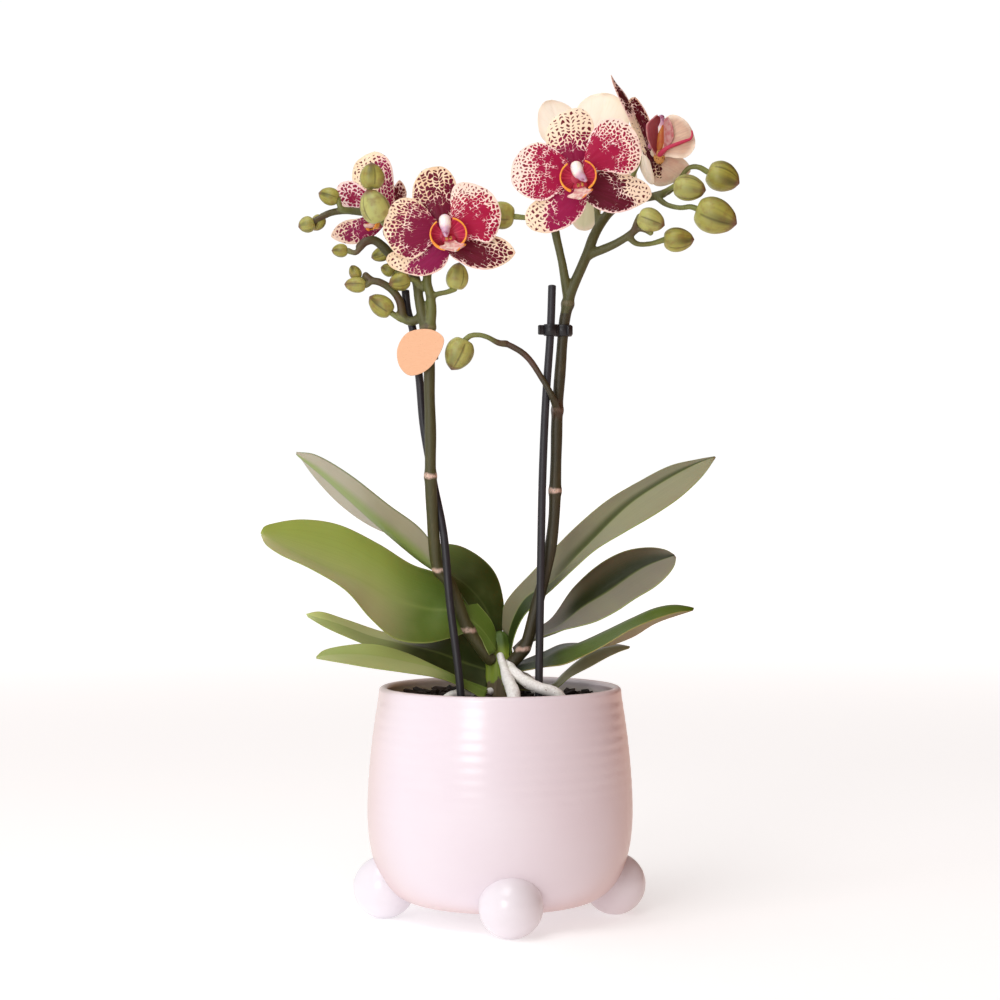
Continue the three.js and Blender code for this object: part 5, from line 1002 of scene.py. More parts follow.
RIGHT_FRONT = [
    dict(plum=0.4, back=24, wide=2.35, long=1.8, dots=0.34, fade=7, warm=0.9, tan=0.1, dark=0.5,
         left=[(-2.2, 1.6), (-5.8, 5.6), (-9, 9), (-12, 11.3), (-14.1, 13.8), (-14.8, 17.4),
               (-14.5, 20.4), (-13.3, 23.4), (-11.4, 26.3), (-8.8, 28.3), (-6, 29.6), (-4.2, 30.1)],
         right=[(1.9, 3.3), (4, 7.4), (5.6, 12.1), (6.7, 16.7), (7.4, 20.7), (7.3, 23.9), (6.1, 27),
                (4.4, 29.3), (2.3, 30.8), (0.2, 31.4), (-1.6, 31.1)],
         tip=(-2.9, 30.4), core=[(-2.4, 2.4), (-6, 6), (-8.8, 9.2), (-5.1, 11.8), (-2.3, 12.3),
               (0.5, 12.1), (3.7, 12.5), (5.1, 10.7), (3.3, 6), (1.9, 3.3)]),
    dict(plum=0.2, petal=True, back=4, wide=1.6, long=1.75, dots=0.3, fade=8, warm=0.5, dark=0.1,
         left=[(2.1, 3.7), (3.1, 8.4), (4, 12.5), (5, 16), (6.3, 19.3), (8.1, 22.2), (10.2, 24.4),
               (13, 25.8), (16.3, 26.3), (19.5, 25.7), (22.8, 23.9), (25.6, 21.1), (27.8, 17.7),
               (29.2, 13.9)],
         right=[(2.6, 1.9), (6.1, 2), (9.3, 2.2), (12.6, 1.9), (15.8, 1.3), (18.8, 0.6), (21.9, 0.2),
                (24.6, 0.8), (27, 2.6), (28.6, 5.3), (29.3, 8.1)],
         tip=(29.5, 10.9), core=[(2.6, 3.7), (3.7, 9.3), (5.1, 13), (6.3, 16.3), (8.8, 17.2),
               (10.7, 14.4), (13, 12.5), (15.8, 13.2), (18.6, 12.1), (19.1, 9.3), (17.7, 7.4),
               (18.8, 5.1), (16.3, 2.8), (11.6, 2.1), (7.4, 2.3)]),
    dict(plum=0.25, petal=True, back=5, wide=1.55, long=1.7, dots=0.3, fade=9, warm=0.45, dark=0.12,
         left=[(-1.8, -1.4), (-4.2, -4.2), (-7.4, -6.7), (-10.2, -9.1), (-13, -10.8), (-16.3, -11.8),
               (-19.5, -11.8), (-22.8, -10.7), (-25.8, -9.1), (-28.3, -7), (-30, -4.6), (-30.7, -2.3)],
         right=[(-2.1, 2.8), (-5.1, 7.1), (-8.4, 10.3), (-11.6, 12.5), (-14.4, 14.1), (-17.6, 15),
                (-20.9, 14.6), (-23.9, 13.2), (-26.5, 11.2), (-28.6, 8.4), (-30.1, 5.5), (-30.7, 2.8)],
         tip=(-30.9, 0.1), core=[(-2.3, 2.8), (-5.6, 6.5), (-9.3, 8.8), (-12.5, 11.2), (-14.9, 11.4),
               (-14.4, 8.8), (-16.5, 6), (-13, 4.9), (-11.6, 2.8), (-14.2, 1.2), (-13, -0.9),
               (-15.6, -3.3), (-16.7, -6), (-18.6, -8.4), (-16.5, -10.5), (-13.5, -9.5), (-10.2, -7.4),
               (-7, -5.1), (-3.2, -1.4)]),
    dict(plum=0.6, back=14, wide=2.1, long=1.9, dots=0.36, fade=3, warm=0.95, tan=0.15, dark=0.1,
         left=[(-2.3, -3.2), (-5.6, -4.8), (-9.3, -7), (-13, -8.8), (-16.7, -10.3), (-20, -12.1),
               (-22.5, -14.4), (-24, -17.2), (-24.3, -20)],
         right=[(2.8, -5.1), (4, -8.4), (4.2, -11.6), (3.5, -14.9), (1.9, -18.1), (-0.5, -20.7),
                (-3.5, -23), (-7, -24.8), (-10.7, -26), (-14.4, -26.7), (-18.1, -26.2), (-21.4, -24.9)],
         tip=(-23.5, -22.7), core=[(-2.3, -5.1), (3.3, -6.5), (4, -11.2), (3, -14.9), (1.2, -17.9),
               (-1.1, -20), (-3.9, -22.1), (-7.4, -23.6), (-10.7, -24.4), (-12.3, -23.2),
               (-11.8, -19.5), (-12.2, -16.3), (-10.4, -12), (-8, -7.6), (-5.6, -5.2)]),
    dict(plum=0.08, back=16, wide=1.85, long=1.8, dots=0.34, fade=5, warm=0.85, tan=0.1, dark=0.92,
         tip_y=3,
         left=[(2.3, 0), (6.1, 1.2), (9.5, 2), (13, 2.1), (16.3, 1.9), (19.5, 1.3), (22.8, 0.9),
               (26, -0.5), (29.3, -1.7), (32.1, -3.6), (33.9, -5.9)],
         right=[(0.9, -3.7), (1.9, -7.4), (3.7, -10.7), (6.1, -13.2), (9.3, -15.3), (12.6, -16.5),
                (16.3, -17.3), (20, -16.9), (23.7, -15.9), (27, -14.5), (30, -12.9), (32.8, -11.2)],
         tip=(34.4, -8.8), core=[(1.4, -2.8), (6.1, 0.9), (12.1, 1.6), (15.8, -0.4), (16.7, -3.7),
               (18.6, -5.8), (18.4, -8.4), (20.5, -10.7), (23.2, -13), (23.5, -15.1), (20, -16.4),
               (15.3, -16.7), (10.7, -15.7), (6.1, -13), (2.8, -8.8)]),
]
RIGHT_SIDE = [
    dict(back=20, wide=2, long=1.9, dots=0.12, fade=1.2, warm=1, tan=0.2, dark=1, y=(0, 2, 5), bow=0.5,
         left=[(-1.4, -0.1), (-6, 8), (-9.4, 16.1), (-12.6, 22.8), (-15.4, 29.2), (-17, 33.7)],
         right=[(0, 0.9), (-1.9, 8.5), (-4.7, 17.3), (-7.6, 24), (-10.7, 29.6), (-14.5, 34)],
         tip=(-17.3, 37.3), core=[(-16.6, 35.1), (-14.2, 29), (-11.3, 24), (-9.7, 18.5), (-8.4, 20),
               (-9, 23.5), (-10, 26.1), (-12, 29.6), (-14, 33.7), (-15.9, 37)]),
    dict(petal=True, back=4, wide=1.5, long=1.7, dots=0.52, fade=5, warm=1, tan=0.6, dark=0.95,
         y=(1, 8, 2), bow=0,
         left=[(-0.9, 1.3), (-4, 8), (-6.1, 13.7), (-8, 19.4), (-8.9, 24), (-8, 26.8)],
         right=[(2.7, 2.3), (3.1, 6.6), (2.8, 11.3), (1.5, 16.1), (-0.4, 21.1), (-2.8, 25.1)],
         tip=(-5.7, 27.8), core=[(-0.4, 1.8), (-3, 8), (-4.5, 13.7), (-5.7, 19.4), (-5.9, 23.5),
               (-4.2, 24.9), (-1.9, 22.3), (0.5, 17.5), (2.1, 12.3), (2.6, 7), (2.2, 2.8)]),
    dict(petal=True, y=(0, -1, -2), bow=3.5, flip=True, blush=0.25, tan=0.65, dark=0.9,
         left=[(1, 0.9), (3.9, 7), (6, 12.5), (8.1, 16.3), (11, 18.1), (14.3, 17.5), (17.7, 15.4),
               (20.2, 12.3), (21.8, 8.7)],
         right=[(2, -1.5), (5.8, -1.8), (9.8, -2.2), (13.9, -3), (17.7, -2.6), (20.5, -0.4), (22, 2.3)],
         tip=(22.2, 5.4)),
    dict(y=(2.5, 4.5, 1), bow=2.5, flip=True, blush=0.4, tan=0.5, dark=0.9,
         left=[(2, -0.6), (5.3, 0), (9.6, 0), (13.9, -0.9), (17.7, -3), (20.1, -5.7)],
         right=[(1, -2.5), (0.8, -6.8), (1.5, -11.1), (3.4, -14.7), (6.7, -15.3), (11, -14.2),
                (15.3, -12.2), (18.6, -10.4)],
         tip=(20.5, -8.2)),
    dict(y=(1, 2, -1.5), bow=1.5, flip=True, dark=0.9,
         left=[(-3, 5), (-4.2, 0.6), (-4, -4.4), (-2.3, -9.4), (0.4, -13.6)],
         right=[(0.3, 0.4), (1, -3.4), (1.9, -7.2), (2.8, -10.6), (3.2, -13)],
         tip=(2.4, -14.5)),
    dict(back=6, wide=1.5, long=1.6, dots=0.55, fade=4, warm=1, tan=0.6, dark=1, y=(-0.2, 1.5, 0.5),
         bow=0.3,
         left=[(-2.6, 3), (-1.4, -3), (0.6, -8)],
         right=[(3.8, 3), (7, -2.4), (8.8, -6.6)],
         tip=(6.2, -11.6), core=[(-2.6, 3), (-1, -3), (0.8, -7), (3, -6), (2.6, 3)]),
]
RIGHT_BACK = [
    dict(y=(2, 1, 1), bow=-1, flip=True,
         left=[(-5.3, 1.8), (-13.9, 4.2), (-21.1, 10), (-22.8, 16.7), (-22.3, 22.9), (-19.7, 26.5)],
         right=[(2.4, 3.7), (0.5, 12.4), (-3.4, 20.1), (-8.2, 25.1), (-12.5, 27)],
         tip=(-16.1, 27.4)),
    dict(y=(2, 1, -1), bow=-1, flip=True,
         left=[(-2.4, 2.8), (-5.5, 10.9), (-5.8, 19.6), (-2.4, 26.3), (1.9, 29.6), (4.8, 30.5)],
         right=[(5.3, 2.3), (13.4, 5.7), (19.2, 11.9), (20.9, 19.6), (18.7, 25.8), (14.4, 29.4),
                (11, 30.5)],
         tip=(7.9, 30.8)),
    dict(green=0.9, y=(2, 2, 0), bow=-1, flip=True, tan=0,
         left=[(-3.4, -2), (-6.7, -12.6), (-8.2, -22.6), (-6.7, -30.3), (-3.8, -34)],
         right=[(3.4, -2), (6.2, -12.6), (7.7, -22.6), (6, -30.3), (2.9, -34)],
         tip=(-0.5, -34.8)),
    dict(petal=True, y=(2, 1, 0), bow=-1, flip=True,
         left=[(1.5, 3), (9, 5.5), (17, 3.5), (22.5, -3)],
         right=[(-1.5, -3), (3, -11), (11, -16), (19, -15.5)],
         tip=(24.5, -10)),
    dict(petal=True, y=(2, 1, 0), bow=-1, flip=True,
         left=[(1, -3), (-5, -11), (-13, -14.5), (-21, -13)],
         right=[(-1, 3), (-8, 7), (-17, 5.5), (-23.5, 0)],
         tip=(-26, -6)),
]
LEFT_BACK = [
    dict(plum=0.6, full=0.66, back=18, wide=1.9, long=1.8, dots=0.3, fade=5, warm=1, tan=0.35,
         dark=0.25, y=(0, 3, -2),
         left=[(-4.3, 1), (-11.9, 7.2), (-16.7, 13.4), (-17.8, 19.1), (-15.7, 25.3)],
         right=[(3.3, 0.5), (2.6, 8.6), (2.1, 14.8), (1.2, 21.9), (-1.4, 26.9)],
         tip=(-7.1, 29.6), core=[(-2.4, 24.3), (-1, 24.8), (1, 18.6), (1.9, 8.1), (2.9, 2.9),
               (-2.4, 2.9), (-1.4, 9.1), (-1.9, 16.2)]),
    dict(plum=0.4, petal=True, back=5, wide=1.7, long=1.9, dots=0.4, fade=5, warm=0.4, dark=0.25,
         full=0.62, y=(-1, 1, 0),
         left=[(-1, 3.9), (-10.9, 11), (-17.6, 15.3), (-22.8, 14.6)],
         right=[(-1, -1.4), (-10, 0), (-17.6, 2), (-23.3, 4.1)],
         tip=(-25.9, 9.6), core=[(-1.9, 5.3), (-10, 9.6), (-15.7, 12.9), (-20.5, 12.4), (-22.4, 9.6),
               (-20, 5.8), (-15.2, 3.9), (-1.9, 1)]),
    dict(plum=0.7, full=0.82, back=10, wide=1.6, long=1.7, dots=0.4, fade=7, warm=0.6, tan=0.3,
         dark=0.4, y=(0, 1, 0),
         left=[(-0.5, 3.4), (-7.1, 0), (-14.8, -2.3), (-20.9, -3.3), (-25.2, -6.1)],
         right=[(3.3, 1.5), (-1.9, -4.7), (-6.2, -9.5), (-13.3, -13.8), (-20.9, -14.1)],
         tip=(-27.6, -10.7), core=[(-0.5, 2.9), (-7.1, -1.4), (-12.8, -4.2), (-15.7, -8.5),
               (-13.8, -12.3), (-9, -10.4), (-1.9, -4.2), (2.9, 1.5)]),
    dict(petal=True, back=5, wide=1.5, long=1.8, dots=0.3, fade=2, warm=1, tan=0.6, dark=0.9,
         y=(1, 5, 2),
         left=[(0.5, 4.8), (1.9, 10), (3.1, 14.3)],
         right=[(5.2, 4.3), (7.9, 8.6), (7.1, 13.4)],
         tip=(4.8, 16.2), core=[(0.5, 4.8), (1.4, 10), (2.9, 14.8), (4.3, 14.3), (4.8, 9.1),
               (4.3, 4.3)]),
    dict(back=10, dots=0.4, fade=4, warm=1, dark=0.7, y=(1, 4, 1),
         left=[(-1.5, -2), (-3, -9), (1, -15)],
         right=[(2.5, -1), (9.5, -6), (12, -12.5)],
         tip=(8.5, -18), core=[(-1.5, -2), (0, -11), (6, -11), (2.5, -1)]),
]
# The flowers: where their middles are, and which ways they face and stand. The lip is moved aside and up by
# cup, its middle lobe leans by lean and rises by lift, its side lobes span the angles of ears, and the end
# of the column is aside by sway.
FLOWERS = {
    "left_front": dict(
        centre=(-25.3, -24, 323.9), face=(0.02, -1, 0.02), up=(-0.1, 0, 1), cup=(-1, -3.7), lean=-0.3,
        ears=((-72, 54), (-68, 70)), tepals=LEFT_FRONT),
    "right_front": dict(
        centre=(36, -24, 348.5), face=(0, -1, 0.02), up=(-0.28, 0, 1), cup=(0.5, -1.6), lean=0.26, sway=-2.4,
        ears=((-50, 66), (-66, 53)), tepals=RIGHT_FRONT),
    "right_side": dict(
        centre=(70.2, 3, 362.5), face=(0.82, -0.42, 0.4), up=(-0.4, 0, 0.9), tepals=RIGHT_SIDE),
    "right_back": dict(
        centre=(41, 11, 361.7), face=(0.1, 0.97, 0.2), up=(0, 0, -1), cup=(0, -1.4),
        ears=((-76, 56), (-70, 66)), tepals=RIGHT_BACK),
    "left_back": dict(
        centre=(-52.6, 2, 333.7), face=(-0.88, -0.46, 0.05), up=(0, 0, 1), cup=(0, -1.5), lift=6,
        ears=((-70, 40), (-70, 40)), tepals=LEFT_BACK),
}


# Blades

def depth_inside(points, outline):
    """How far each point is inside a closed outline, negative outside."""
    a = np.array(outline, float)
    b = np.roll(a, -1, axis=0)
    p = points[..., None, :]
    share = np.clip(((p - a) * (b - a)).sum(-1) / ((b - a) ** 2).sum(-1), 0, 1)
    reach = np.linalg.norm(p - a - (b - a) * share[..., None], axis=-1).min(-1)
    cross = (a[:, 1] > p[..., 1]) != (b[:, 1] > p[..., 1])
    slope = (b[:, 0] - a[:, 0]) / np.where(b[:, 1] == a[:, 1], 1e-9, b[:, 1] - a[:, 1])
    hits = cross & (p[..., 0] < a[:, 0] + (p[..., 1] - a[:, 1]) * slope)
    return np.where(hits.sum(-1) % 2 == 1, reach, -reach)


def margins(piece, where):
    """Points at shares of the length of both margins, which meet at the tip in one round curve."""
    line = smooth_profile(piece["left"] + [piece["tip"]] + piece["right"][::-1], 900)
    top = np.argmin(np.linalg.norm(line - piece["tip"], axis=-1))
    for part in (line[:top + 1], line[top:][::-1]):
        run = running_length(part)
        yield np.column_stack([np.interp(where, run / run[-1], part[:, k]) for k in (0, 1)])


def blade(piece, rows, columns):
    """Shares along and across a blade, its points as seen from the front, and the middle of its foot."""
    t = np.sin(np.arange(rows) / rows * math.pi / 2)
    left, right = margins(piece, t)
    a = np.sin(np.linspace(-math.pi / 2, math.pi / 2, columns))[None, :]
    flat = (left + right)[:, None] / 2 + (right - left)[:, None] / 2 * a[..., None]
    return t[:, None] + 0 * a, a, flat, (left[0] + right[0]) / 2


# What a tepal is like unless its row says otherwise
PLAIN = dict(petal=False, flip=False, tip_y=1, back=10, wide=1.6, long=1.9, full=0.8, dots=0.3, fade=6,
             warm=1, dark=0.3, tan=0, blush=0, plum=0, green=0)


def add_tepal(form, centre, piece, seed):
    """A tepal between its left and right margins, as seen from the front."""
    piece = {**PLAIN, **piece}
    petal, flip, back = piece["petal"], piece["flip"], piece["back"]
    t, a, flat, foot = blade(piece, 46, 31)
    bow, layer = piece.get("bow", 1.8 if petal else 1), 1.6 if petal and "y" not in piece else 0
    arch = np.sin(math.pi * t)
    lift = layer + bow * np.sin(math.pi * t * 0.9) - (1 if bow > 0 else 0.3) * a * a * arch
    lift += (0.6 if petal else 0.2) * np.sin(t * 13 + a * 2 + seed) * a * a * t
    lift += 0.2 * np.sin(t * 31 + a * 5 + seed) * a**6 * t - 0.3 * np.exp(-(a / 0.07) ** 2) * arch
    base, tip, roll = piece.get("y", (0, piece["tip_y"], 0))
    depth = base + (tip - base) * t + roll * a * np.minimum(1, 2 * t) * np.sqrt(1 - t**8) - lift
    grid = centre + np.stack([flat[..., 0], depth, flat[..., 1]], axis=-1)
    axis = unit(np.array(piece["tip"], float) - foot)
    away = flat - (foot - axis * back)
    turn = np.arctan2(away[..., 0] * axis[1] - away[..., 1] * axis[0], away @ axis)
    far = back + 0.62 * np.linalg.norm(piece["tip"])
    edge = depth_inside(flat, piece["left"] + [piece["tip"]] + piece["right"][::-1])
    if "core" in piece:
        core = depth_inside(flat, piece["core"]) + 0.5
        core += 0.9 * wave(grid, 3.4, seed) + 0.5 * wave(grid, 1.6, seed + 3)
    else:
        core = 2 - 12 * t
    full, dots = piece["full"], piece["dots"] + 0.05
    outside = np.clip(-core / (1.3 * piece["fade"]), 0, 1) ** 1.3
    cover = np.where(core > 0, full + 0.055 * np.minimum(core, 4), full + (dots - full) * outside)
    cover = cover + 0.07 * wave(grid, 4.5, seed + 7) * (cover < 0.9)
    from_hub = np.linalg.norm(flat, axis=-1)
    cover = cover * (1 - 0.9 * smoothstep(0.9, 0.1, edge) * smoothstep(12, 17, from_hub))
    thick = (0.35 + 0.5 * (1 - np.abs(a) ** 2)) * (1 - 0.4 * t)
    slope = np.cross(np.gradient(grid, axis=1), np.gradient(grid, axis=0))[..., 1].mean()
    upper = -1 if (slope < 0) == flip else 1
    warm = piece["warm"] * (0.25 + 0.75 * smoothstep(0, 5, -core))
    row, run = turn * far / piece["wide"] + 3.7 * seed, np.linalg.norm(away, axis=-1) / piece["long"]
    add_sheet(form, grid, thick, upper, cover=cover, warm=warm, row=row, run=run,
              lit=smoothstep(2.6, 0.2, edge), hub=0 if flip else smoothstep(13, 9, from_hub),
              **{key: piece[key] for key in ("dark", "tan", "blush", "plum", "green")})


# Whole flowers. place takes offsets to the flower's right, ahead of it and up.

def add_ball(form, place, size, middle, **values):
    """A ball with its poles ahead and behind, drawn out to size."""
    form.add(place(globe(18, 28, 0.05)[..., [0, 2, 1]] * size + middle), rings(18, 28), **values)


def build_flower(name, plan):
    centre, face, up = [np.array(plan[key], float) for key in ("centre", "face", "up")]
    face = unit(face)
    up = unit(up - face * np.dot(up, face))
    axes = np.array([np.cross(face, up), face, up])

    def place(offsets):
        return centre + offsets @ axes

    tepals, side_view = Form(), name == "right_side"
    for k, piece in enumerate(plan["tepals"]):
        add_tepal(tepals, centre, piece, 1.7 * k + len(name) * 0.37)
    if not side_view:
        add_ball(tepals, place, (3, 2.6, 3), 0, cover=1, face=1, dark=0.6)
    tepals.build(f"flower_{name}_blades", TEPAL, "tepal", f"flower_{name}_tepals")
    if side_view:
        build_side_lip(name, centre)
    else:
        build_column(name, place, plan.get("sway", 0))
        build_lip(name, place, plan)


def build_column(name, place, sway):
    path = [(0, 2.7, 0.4), (0, 4.6, 2.6), (0, 7, 3), (0, 9, 0), (0.2 + sway, 10, -4.6)]
    wide = np.interp(np.linspace(0, 1, 56), [0, 0.16, 0.36, 0.54, 0.7, 0.78, 0.9, 1],
                     [1.7, 2.2, 2.75, 2.8, 2.5, 2, 1.7, 0.9])
    grid, run = tube_points(smooth_path(path, 56), wide, 32)
    form = Form().add(place(grid), rings(len(grid), 32), run=np.repeat(run, 32))
    form.build(f"flower_{name}_anther", COLUMN, "column", f"flower_{name}_column")


def build_lip(name, place, plan):
    """Two cupped side lobes with rolled rims, and an anchor-shaped middle lobe under them."""
    form = Form()
    across, down = plan["cup"]
    for hand, span in zip((1, -1), plan["ears"]):
        swing = np.radians(np.linspace(*span, 44))[:, None]
        out = np.linspace(0, 1, 18)[None, :]
        wide = np.sin(0.12 * math.pi + out * 0.38 * math.pi)
        x = across * out + hand * 8.3 * wide * np.cos(swing)
        y = 4.4 + 5.4 * (1 - np.cos(out * math.pi / 2)) + 0.8 * np.sin(swing) * out
        z = down + 7.2 * wide * np.sin(swing)
        low = smoothstep(0.2, -1.1, swing)
        grid = place(np.stack([x, y, z], axis=-1))
        add_sheet(form, grid, np.full((44, 18), 0.6), 1, rim=out ** (6 - 4.4 * low), row=swing * 7, low=low)
        add_tube(form, grid[:, -1], 0.36 + (0.27 + 0.12 * hand) * low[:, 0], sides=10, rim=1)
    add_ball(form, place, (4.6, 1.1, 4.2), (0.4 * across, 4, down))
    add_ball(form, place, (3.6, 2.2, 2.3), (across, 5.6, -5.8), low=0.4)
    t, a = np.linspace(0, 1, 34)[:, None], np.linspace(-1, 1, 29)[None, :]
    half = np.interp(t, [0, 0.25, 0.5, 0.66, 0.78, 1], [2.2, 2.6, 4.3, 6.1, 3.3, 0.5])
    horns = np.abs(a) ** 2.5 * np.exp(-((t - 0.66) / 0.2) ** 2)
    y = 5.6 + 7.2 * np.sin(t * 1.35) - 1.4 * horns
    z = -6.2 - 6.2 * np.sin(t * 1.5) + 0.7 * a * a * np.sin(t * math.pi) + 1.4 * horns
    z += plan.get("lift", 0) * t
    x = half * a + across + plan.get("lean", 0) * (y - 5)
    add_sheet(form, place(np.stack([x, y, z], axis=-1)), 1.2 - 0.6 * t + 0 * a, 1,
              pale=0.55 + 0.45 * smoothstep(0, 0.3, t),
              rim=0.75 * smoothstep(-0.7, -1, a) * smoothstep(0.4, 0.7, t))
    for side in (-0.9, 0.9):
        add_ball(form, place, (0.8, 1, 1.1), (side + across, 7.2, -5.6), callus=1)
    form.build(f"flower_{name}_labellum", LIP, "lip", f"flower_{name}_lip")


SIDE_LOBES = [
    dict(y=(-2.4, -5.2, 1.5), rim=0, pale=0.12, dim=0.75,
         left=[(3.6, -1.5), (1.6, 1.8), (-0.2, 6.1), (-0.9, 10.4), (-0.7, 13), (1, 14.7)],
         right=[(5.2, -1.5), (4.6, 2.3), (5, 6.6), (5.8, 10.9), (6.5, 14.9)],
         tip=(4.3, 17)),
    dict(y=(-2.4, -5.2, -1.5), rim=0, pale=0.6, dim=0.4,
         left=[(5.6, -1.5), (6.9, 2.6), (7, 7.5), (7.1, 11.8), (7.7, 14.9)],
         right=[(7.4, -1.5), (9.9, 2.8), (11.7, 6.6), (11.5, 10.9), (10.3, 14.2)],
         tip=(8.9, 15.9)),
    dict(y=(-1.8, -3.4, 0), rim=0.62, pale=0, dim=0.5,
         left=[(4.2, -1.5), (4, 2.2), (4.3, 6.6), (4.8, 10.9), (5.3, 14.2)],
         right=[(6.6, -1.5), (7.9, 2.2), (7.9, 6.6), (7.7, 10.9), (7.2, 14.2)],
         tip=(6.2, 15.9)),
]
SIDE_TONGUE = [(5.2, -2.6, -1.6), (7.4, -5, 0.6), (9.6, -5.6, 2), (13.4, -6, 3.5), (17.2, -6, 4.9),
               (20, -5.6, 6.1), (20.8, -5.2, 8.5), (20.6, -5, 9.9)]
SIDE_COLUMN = [(1.5, -0.4, 3), (4, -1.6, 9), (6, -2.4, 14), (6.3, -2.6, 16.6)]


def build_side_lip(name, centre):
    """Lip and column of the flower that is seen from its side, with a tongue that reaches to the right."""
    lip, column = Form(), Form()
    for piece in SIDE_LOBES:
        t, a, flat, _ = blade(piece, 30, 15)
        base, tip, roll = piece["y"]
        depth = base + (tip - base) * t + roll * a - 1.2 * (1 - a * a) * np.sin(math.pi * t)
        grid = centre + np.stack([flat[..., 0], depth, flat[..., 1]], axis=-1)
        edge = smoothstep(0.7, 1, np.abs(a))
        add_sheet(lip, grid, np.full(t.shape, 0.6), 1, rim=piece["rim"], row=a * 4,
                  pale=np.maximum(piece["pale"], 0.6 * edge), dim=piece["dim"] * (1 - 0.7 * edge))
    wide = spread([1.4, 1.1, 0.9, 0.9, 0.8, 0.6, 0.4], 40)
    add_tube(lip, centre + smooth_path(SIDE_TONGUE, 40), wide, dim=0.15)
    add_ball(lip, lambda offsets: centre + offsets, (2.7, 1.6, 3.4), (5.4, -2.2, -2.2), callus=1)
    lip.build(f"flower_{name}_labellum", LIP, "lip", f"flower_{name}_lip")
    add_tube(column, centre + smooth_path(SIDE_COLUMN, 40), spread([1.6, 1.8, 2.3, 1.6], 40))
    column.build(f"flower_{name}_anther", COLUMN, "column", f"flower_{name}_column")


# Buds: base, tip and width. Young ones are paler, by the number of the bud.

BUDS = [
    ((98.7, 4, 353.8), (114, 4, 348.2), 14.6), ((92.8, -4, 335.4), (111.8, -6, 327.9), 17.2),
    ((82.3, -3, 346.2), (97.2, -6, 343.8), 12.5), ((64.8, -17, 330.6), (76.8, -19, 325.8), 11.2),
    ((76.8, -12, 320), (91.2, -12, 320), 11.6), ((-16.4, -16, 273), (-22.8, -16, 258.6), 13.4),
    ((-59.7, -20, 342.7), (-59.7, -20, 355), 11.6), ((-55.2, -22, 327.3), (-61.7, -25, 341.8), 13.8),
    ((-75.6, -14, 338.6), (-85, -14, 341.6), 8.4), ((-87, -15, 327.7), (-94.3, -16, 325.4), 7.8),
    ((-83.6, -11.5, 331.2), (-87.4, -10, 324.4), 6.8), ((-71, -20, 314), (-78.5, -20, 314), 6.4),
    ((-52, -12, 314.5), (-60.5, -11, 311.5), 6.9), ((-49.5, -12, 304.5), (-56, -12, 307), 6.4),
    ((-42.2, -19, 301), (-51.7, -21, 298.4), 9), ((-62.8, -17, 298), (-72.7, -18, 298.5), 7.4),
    ((-66.4, -16, 301.3), (-69.6, -14, 307.7), 5.8), ((-50.8, -14, 285.4), (-61.2, -14, 293.1), 10),
    ((-21, -17, 296.2), (-19, -17, 308.8), 10.6), ((6.7, -14, 330.5), (-7.8, -13, 332.5), 13),
]
YOUNG = {2: 0.12, 3: 0.5, 4: 0.5, 6: 0.45, 7: 0.12, 8: 0.8, 10: 0.3, 16: 0.3, 19: 0.35}


def build_bud(number, base, tip, width):
    base, tip = np.array(base, float), np.array(tip, float)
    way = unit(tip - base)
    side = unit(np.cross(way, [0.2, 1, 0.1]))
    rows, sides = 34, 36
    outline = smooth_profile([(0.02, 0), (0.66, 0.06), (0.98, 0.3), (0.96, 0.55), (0.58, 0.85), (0.17, 0.97),
                              (0.02, 1)], rows)
    s, around = outline[:, 1:], circle(sides)
    turn = around + number * 0.9
    third = FULL_TURN / 3
    seam = np.exp(-((np.mod(around + third / 2, third) - third / 2) / 0.13) ** 2)
    seam = seam * smoothstep(0.02, 0.2, s) * smoothstep(1.02, 0.8, s)
    wide = outline[:, :1] * (1 - 0.035 * np.cos(3 * around) - 0.05 * seam) * width / 2
    cosine, sine = np.tile(np.cos(turn), (rows, 1)), np.tile(np.sin(turn), (rows, 1))
    grid = (base + way * (s * np.linalg.norm(tip - base))[..., None]
            + (wide * cosine)[..., None] * side + (wide * sine)[..., None] * np.cross(way, side))
    form = Form().add(grid, rings(rows, sides), cosine=cosine, sine=sine, seam=seam, run=np.repeat(s, sides),
                      belly=smoothstep(0.7, 0.1, s + 0.2 * np.sin(turn * 2)), young=YOUNG.get(number, 0))
    form.build(f"bud_{number:02d}_closed", BUD, "bud", f"bud_{number:02d}")


# Studio

def add_lamp(name, place, aim, size, energy):
    data = bpy.data.lights.new(name, "AREA")
    data.shape, data.energy = "RECTANGLE", energy
    data.size, data.size_y = size
    made = new_object(name, data)
    made.location = place
    made.rotation_euler = (Vector(aim) - Vector(place)).to_track_quat("-Z", "Y").to_euler()


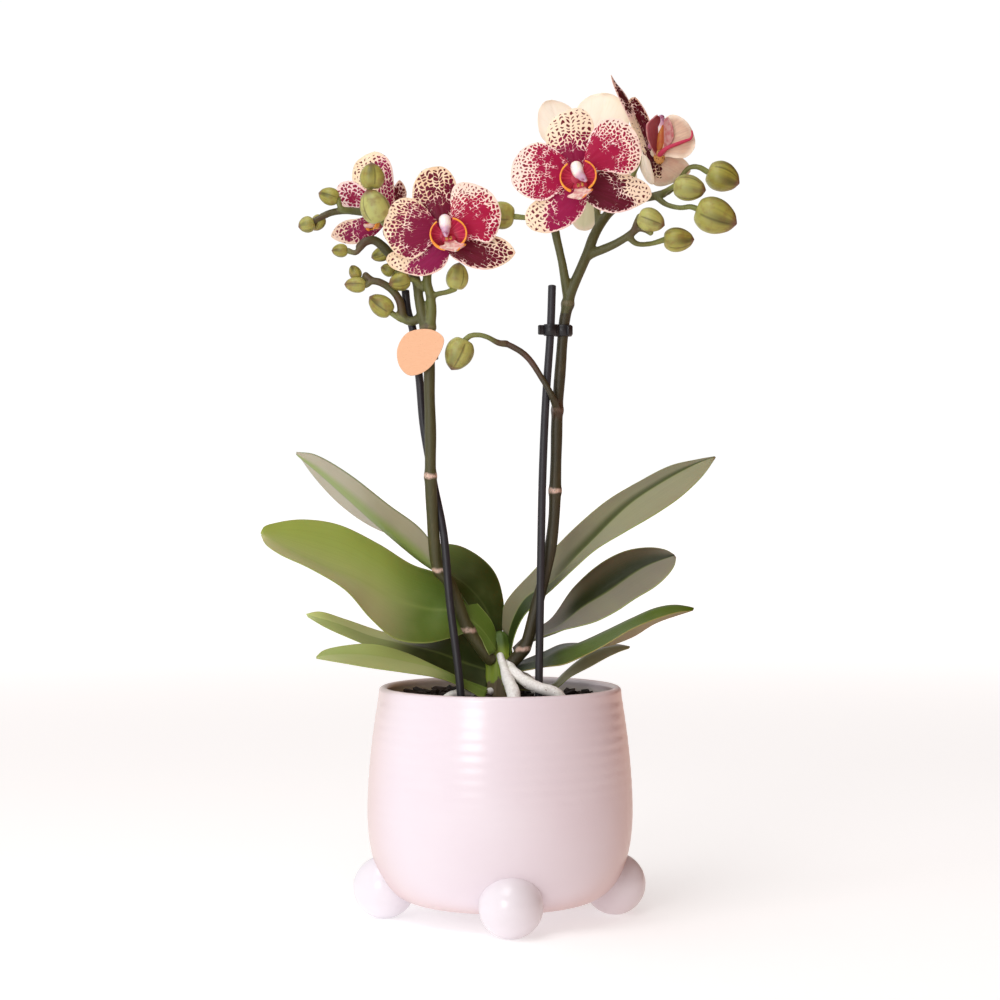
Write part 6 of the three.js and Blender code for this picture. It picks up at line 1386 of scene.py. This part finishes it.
def build_stage():
    """Floor and world look white. They lend grey light from the left and brown light from the right."""
    white = (1, 1, 1, 1)
    floor = bpy.data.meshes.new("floor")
    floor.from_pydata([(-40, -40, 0), (40, -40, 0), (40, 40, 0), (-40, 40, 0)], [], [(0, 1, 2, 3)])
    look = Look("floor", Roughness=0.9, Base_Color=(0.8, 0.8, 0.8, 1))
    metres = look.place(1, 1, 1)
    cast = look.mix(look.step(-0.1, 0.25, look.part(metres, "X")), white, (0.62, 0.3, 0.18, 1))
    away = look.numbered("VectorMath", {0: metres}, operation="LENGTH").outputs["Value"]
    look.set(Emission_Color=look.mix(look.node("LightPath").outputs["Is Camera Ray"], cast, white),
             Emission_Strength=look.line(look.step(0.5, 2.6, away), 0.32, 0.4))
    floor.materials.append(look.material)
    new_object("floor", floor)
    world = bpy.data.worlds.new("studio")
    bpy.context.scene.world = world
    world.use_nodes = True
    sky = Nodes(world.node_tree)
    way = sky.part(sky.node("TexCoord").outputs["Generated"], "X")
    side = sky.node("MapRange", Value=way, From_Min=-0.25, From_Max=0.6).outputs[0]
    cast = sky.mix(side, (0.82, 0.81, 0.81, 1), (0.18, 0.06, 0.02, 1))
    seen = sky.mix(sky.node("LightPath").outputs["Is Camera Ray"], cast, (1.02, 1.02, 1.02, 1))
    sky.put(world.node_tree.nodes["Background"].inputs["Color"], seen)
    add_lamp("key", (-0.6, -1.34, 0.47), (0, 0, 0.2), (0.44, 0.5), 4.5)
    add_lamp("top", (-0.35, -0.6, 1.4), (0, 0, 0.2), (0.8, 0.8), 6)
    lens = bpy.data.cameras.new("camera")
    lens.lens, lens.sensor_width = 84.2, 36
    camera = new_object("camera", lens)
    camera.location = (0, -1.111, 0.21)
    camera.rotation_euler = (math.radians(90 - 0.64), 0, 0)
    bpy.context.scene.camera = camera
    bpy.context.scene.view_settings.view_transform = "Standard"


build_stage()
build_pot()
build_bark()
build_crown()
for root_number, (root_name, root_plan) in enumerate(ROOTS.items()):
    build_root(root_number, root_name, *root_plan)
for stick_name, stick_path in STICKS.items():
    build_stick(stick_name, stick_path)
for clip_name, clip_plan in CLIPS.items():
    build_clip(clip_name, *clip_plan)
build_card()
for leaf_name, leaf_shape in LEAVES.items():
    build_leaf(leaf_name, leaf_shape)
for spike_name, spike_plan in SPIKES.items():
    build_spike(spike_name, spike_plan)
for flower_name, flower_plan in FLOWERS.items():
    build_flower(flower_name, flower_plan)
for bud_number, bud_shape in enumerate(BUDS, 1):
    build_bud(bud_number, *bud_shape)
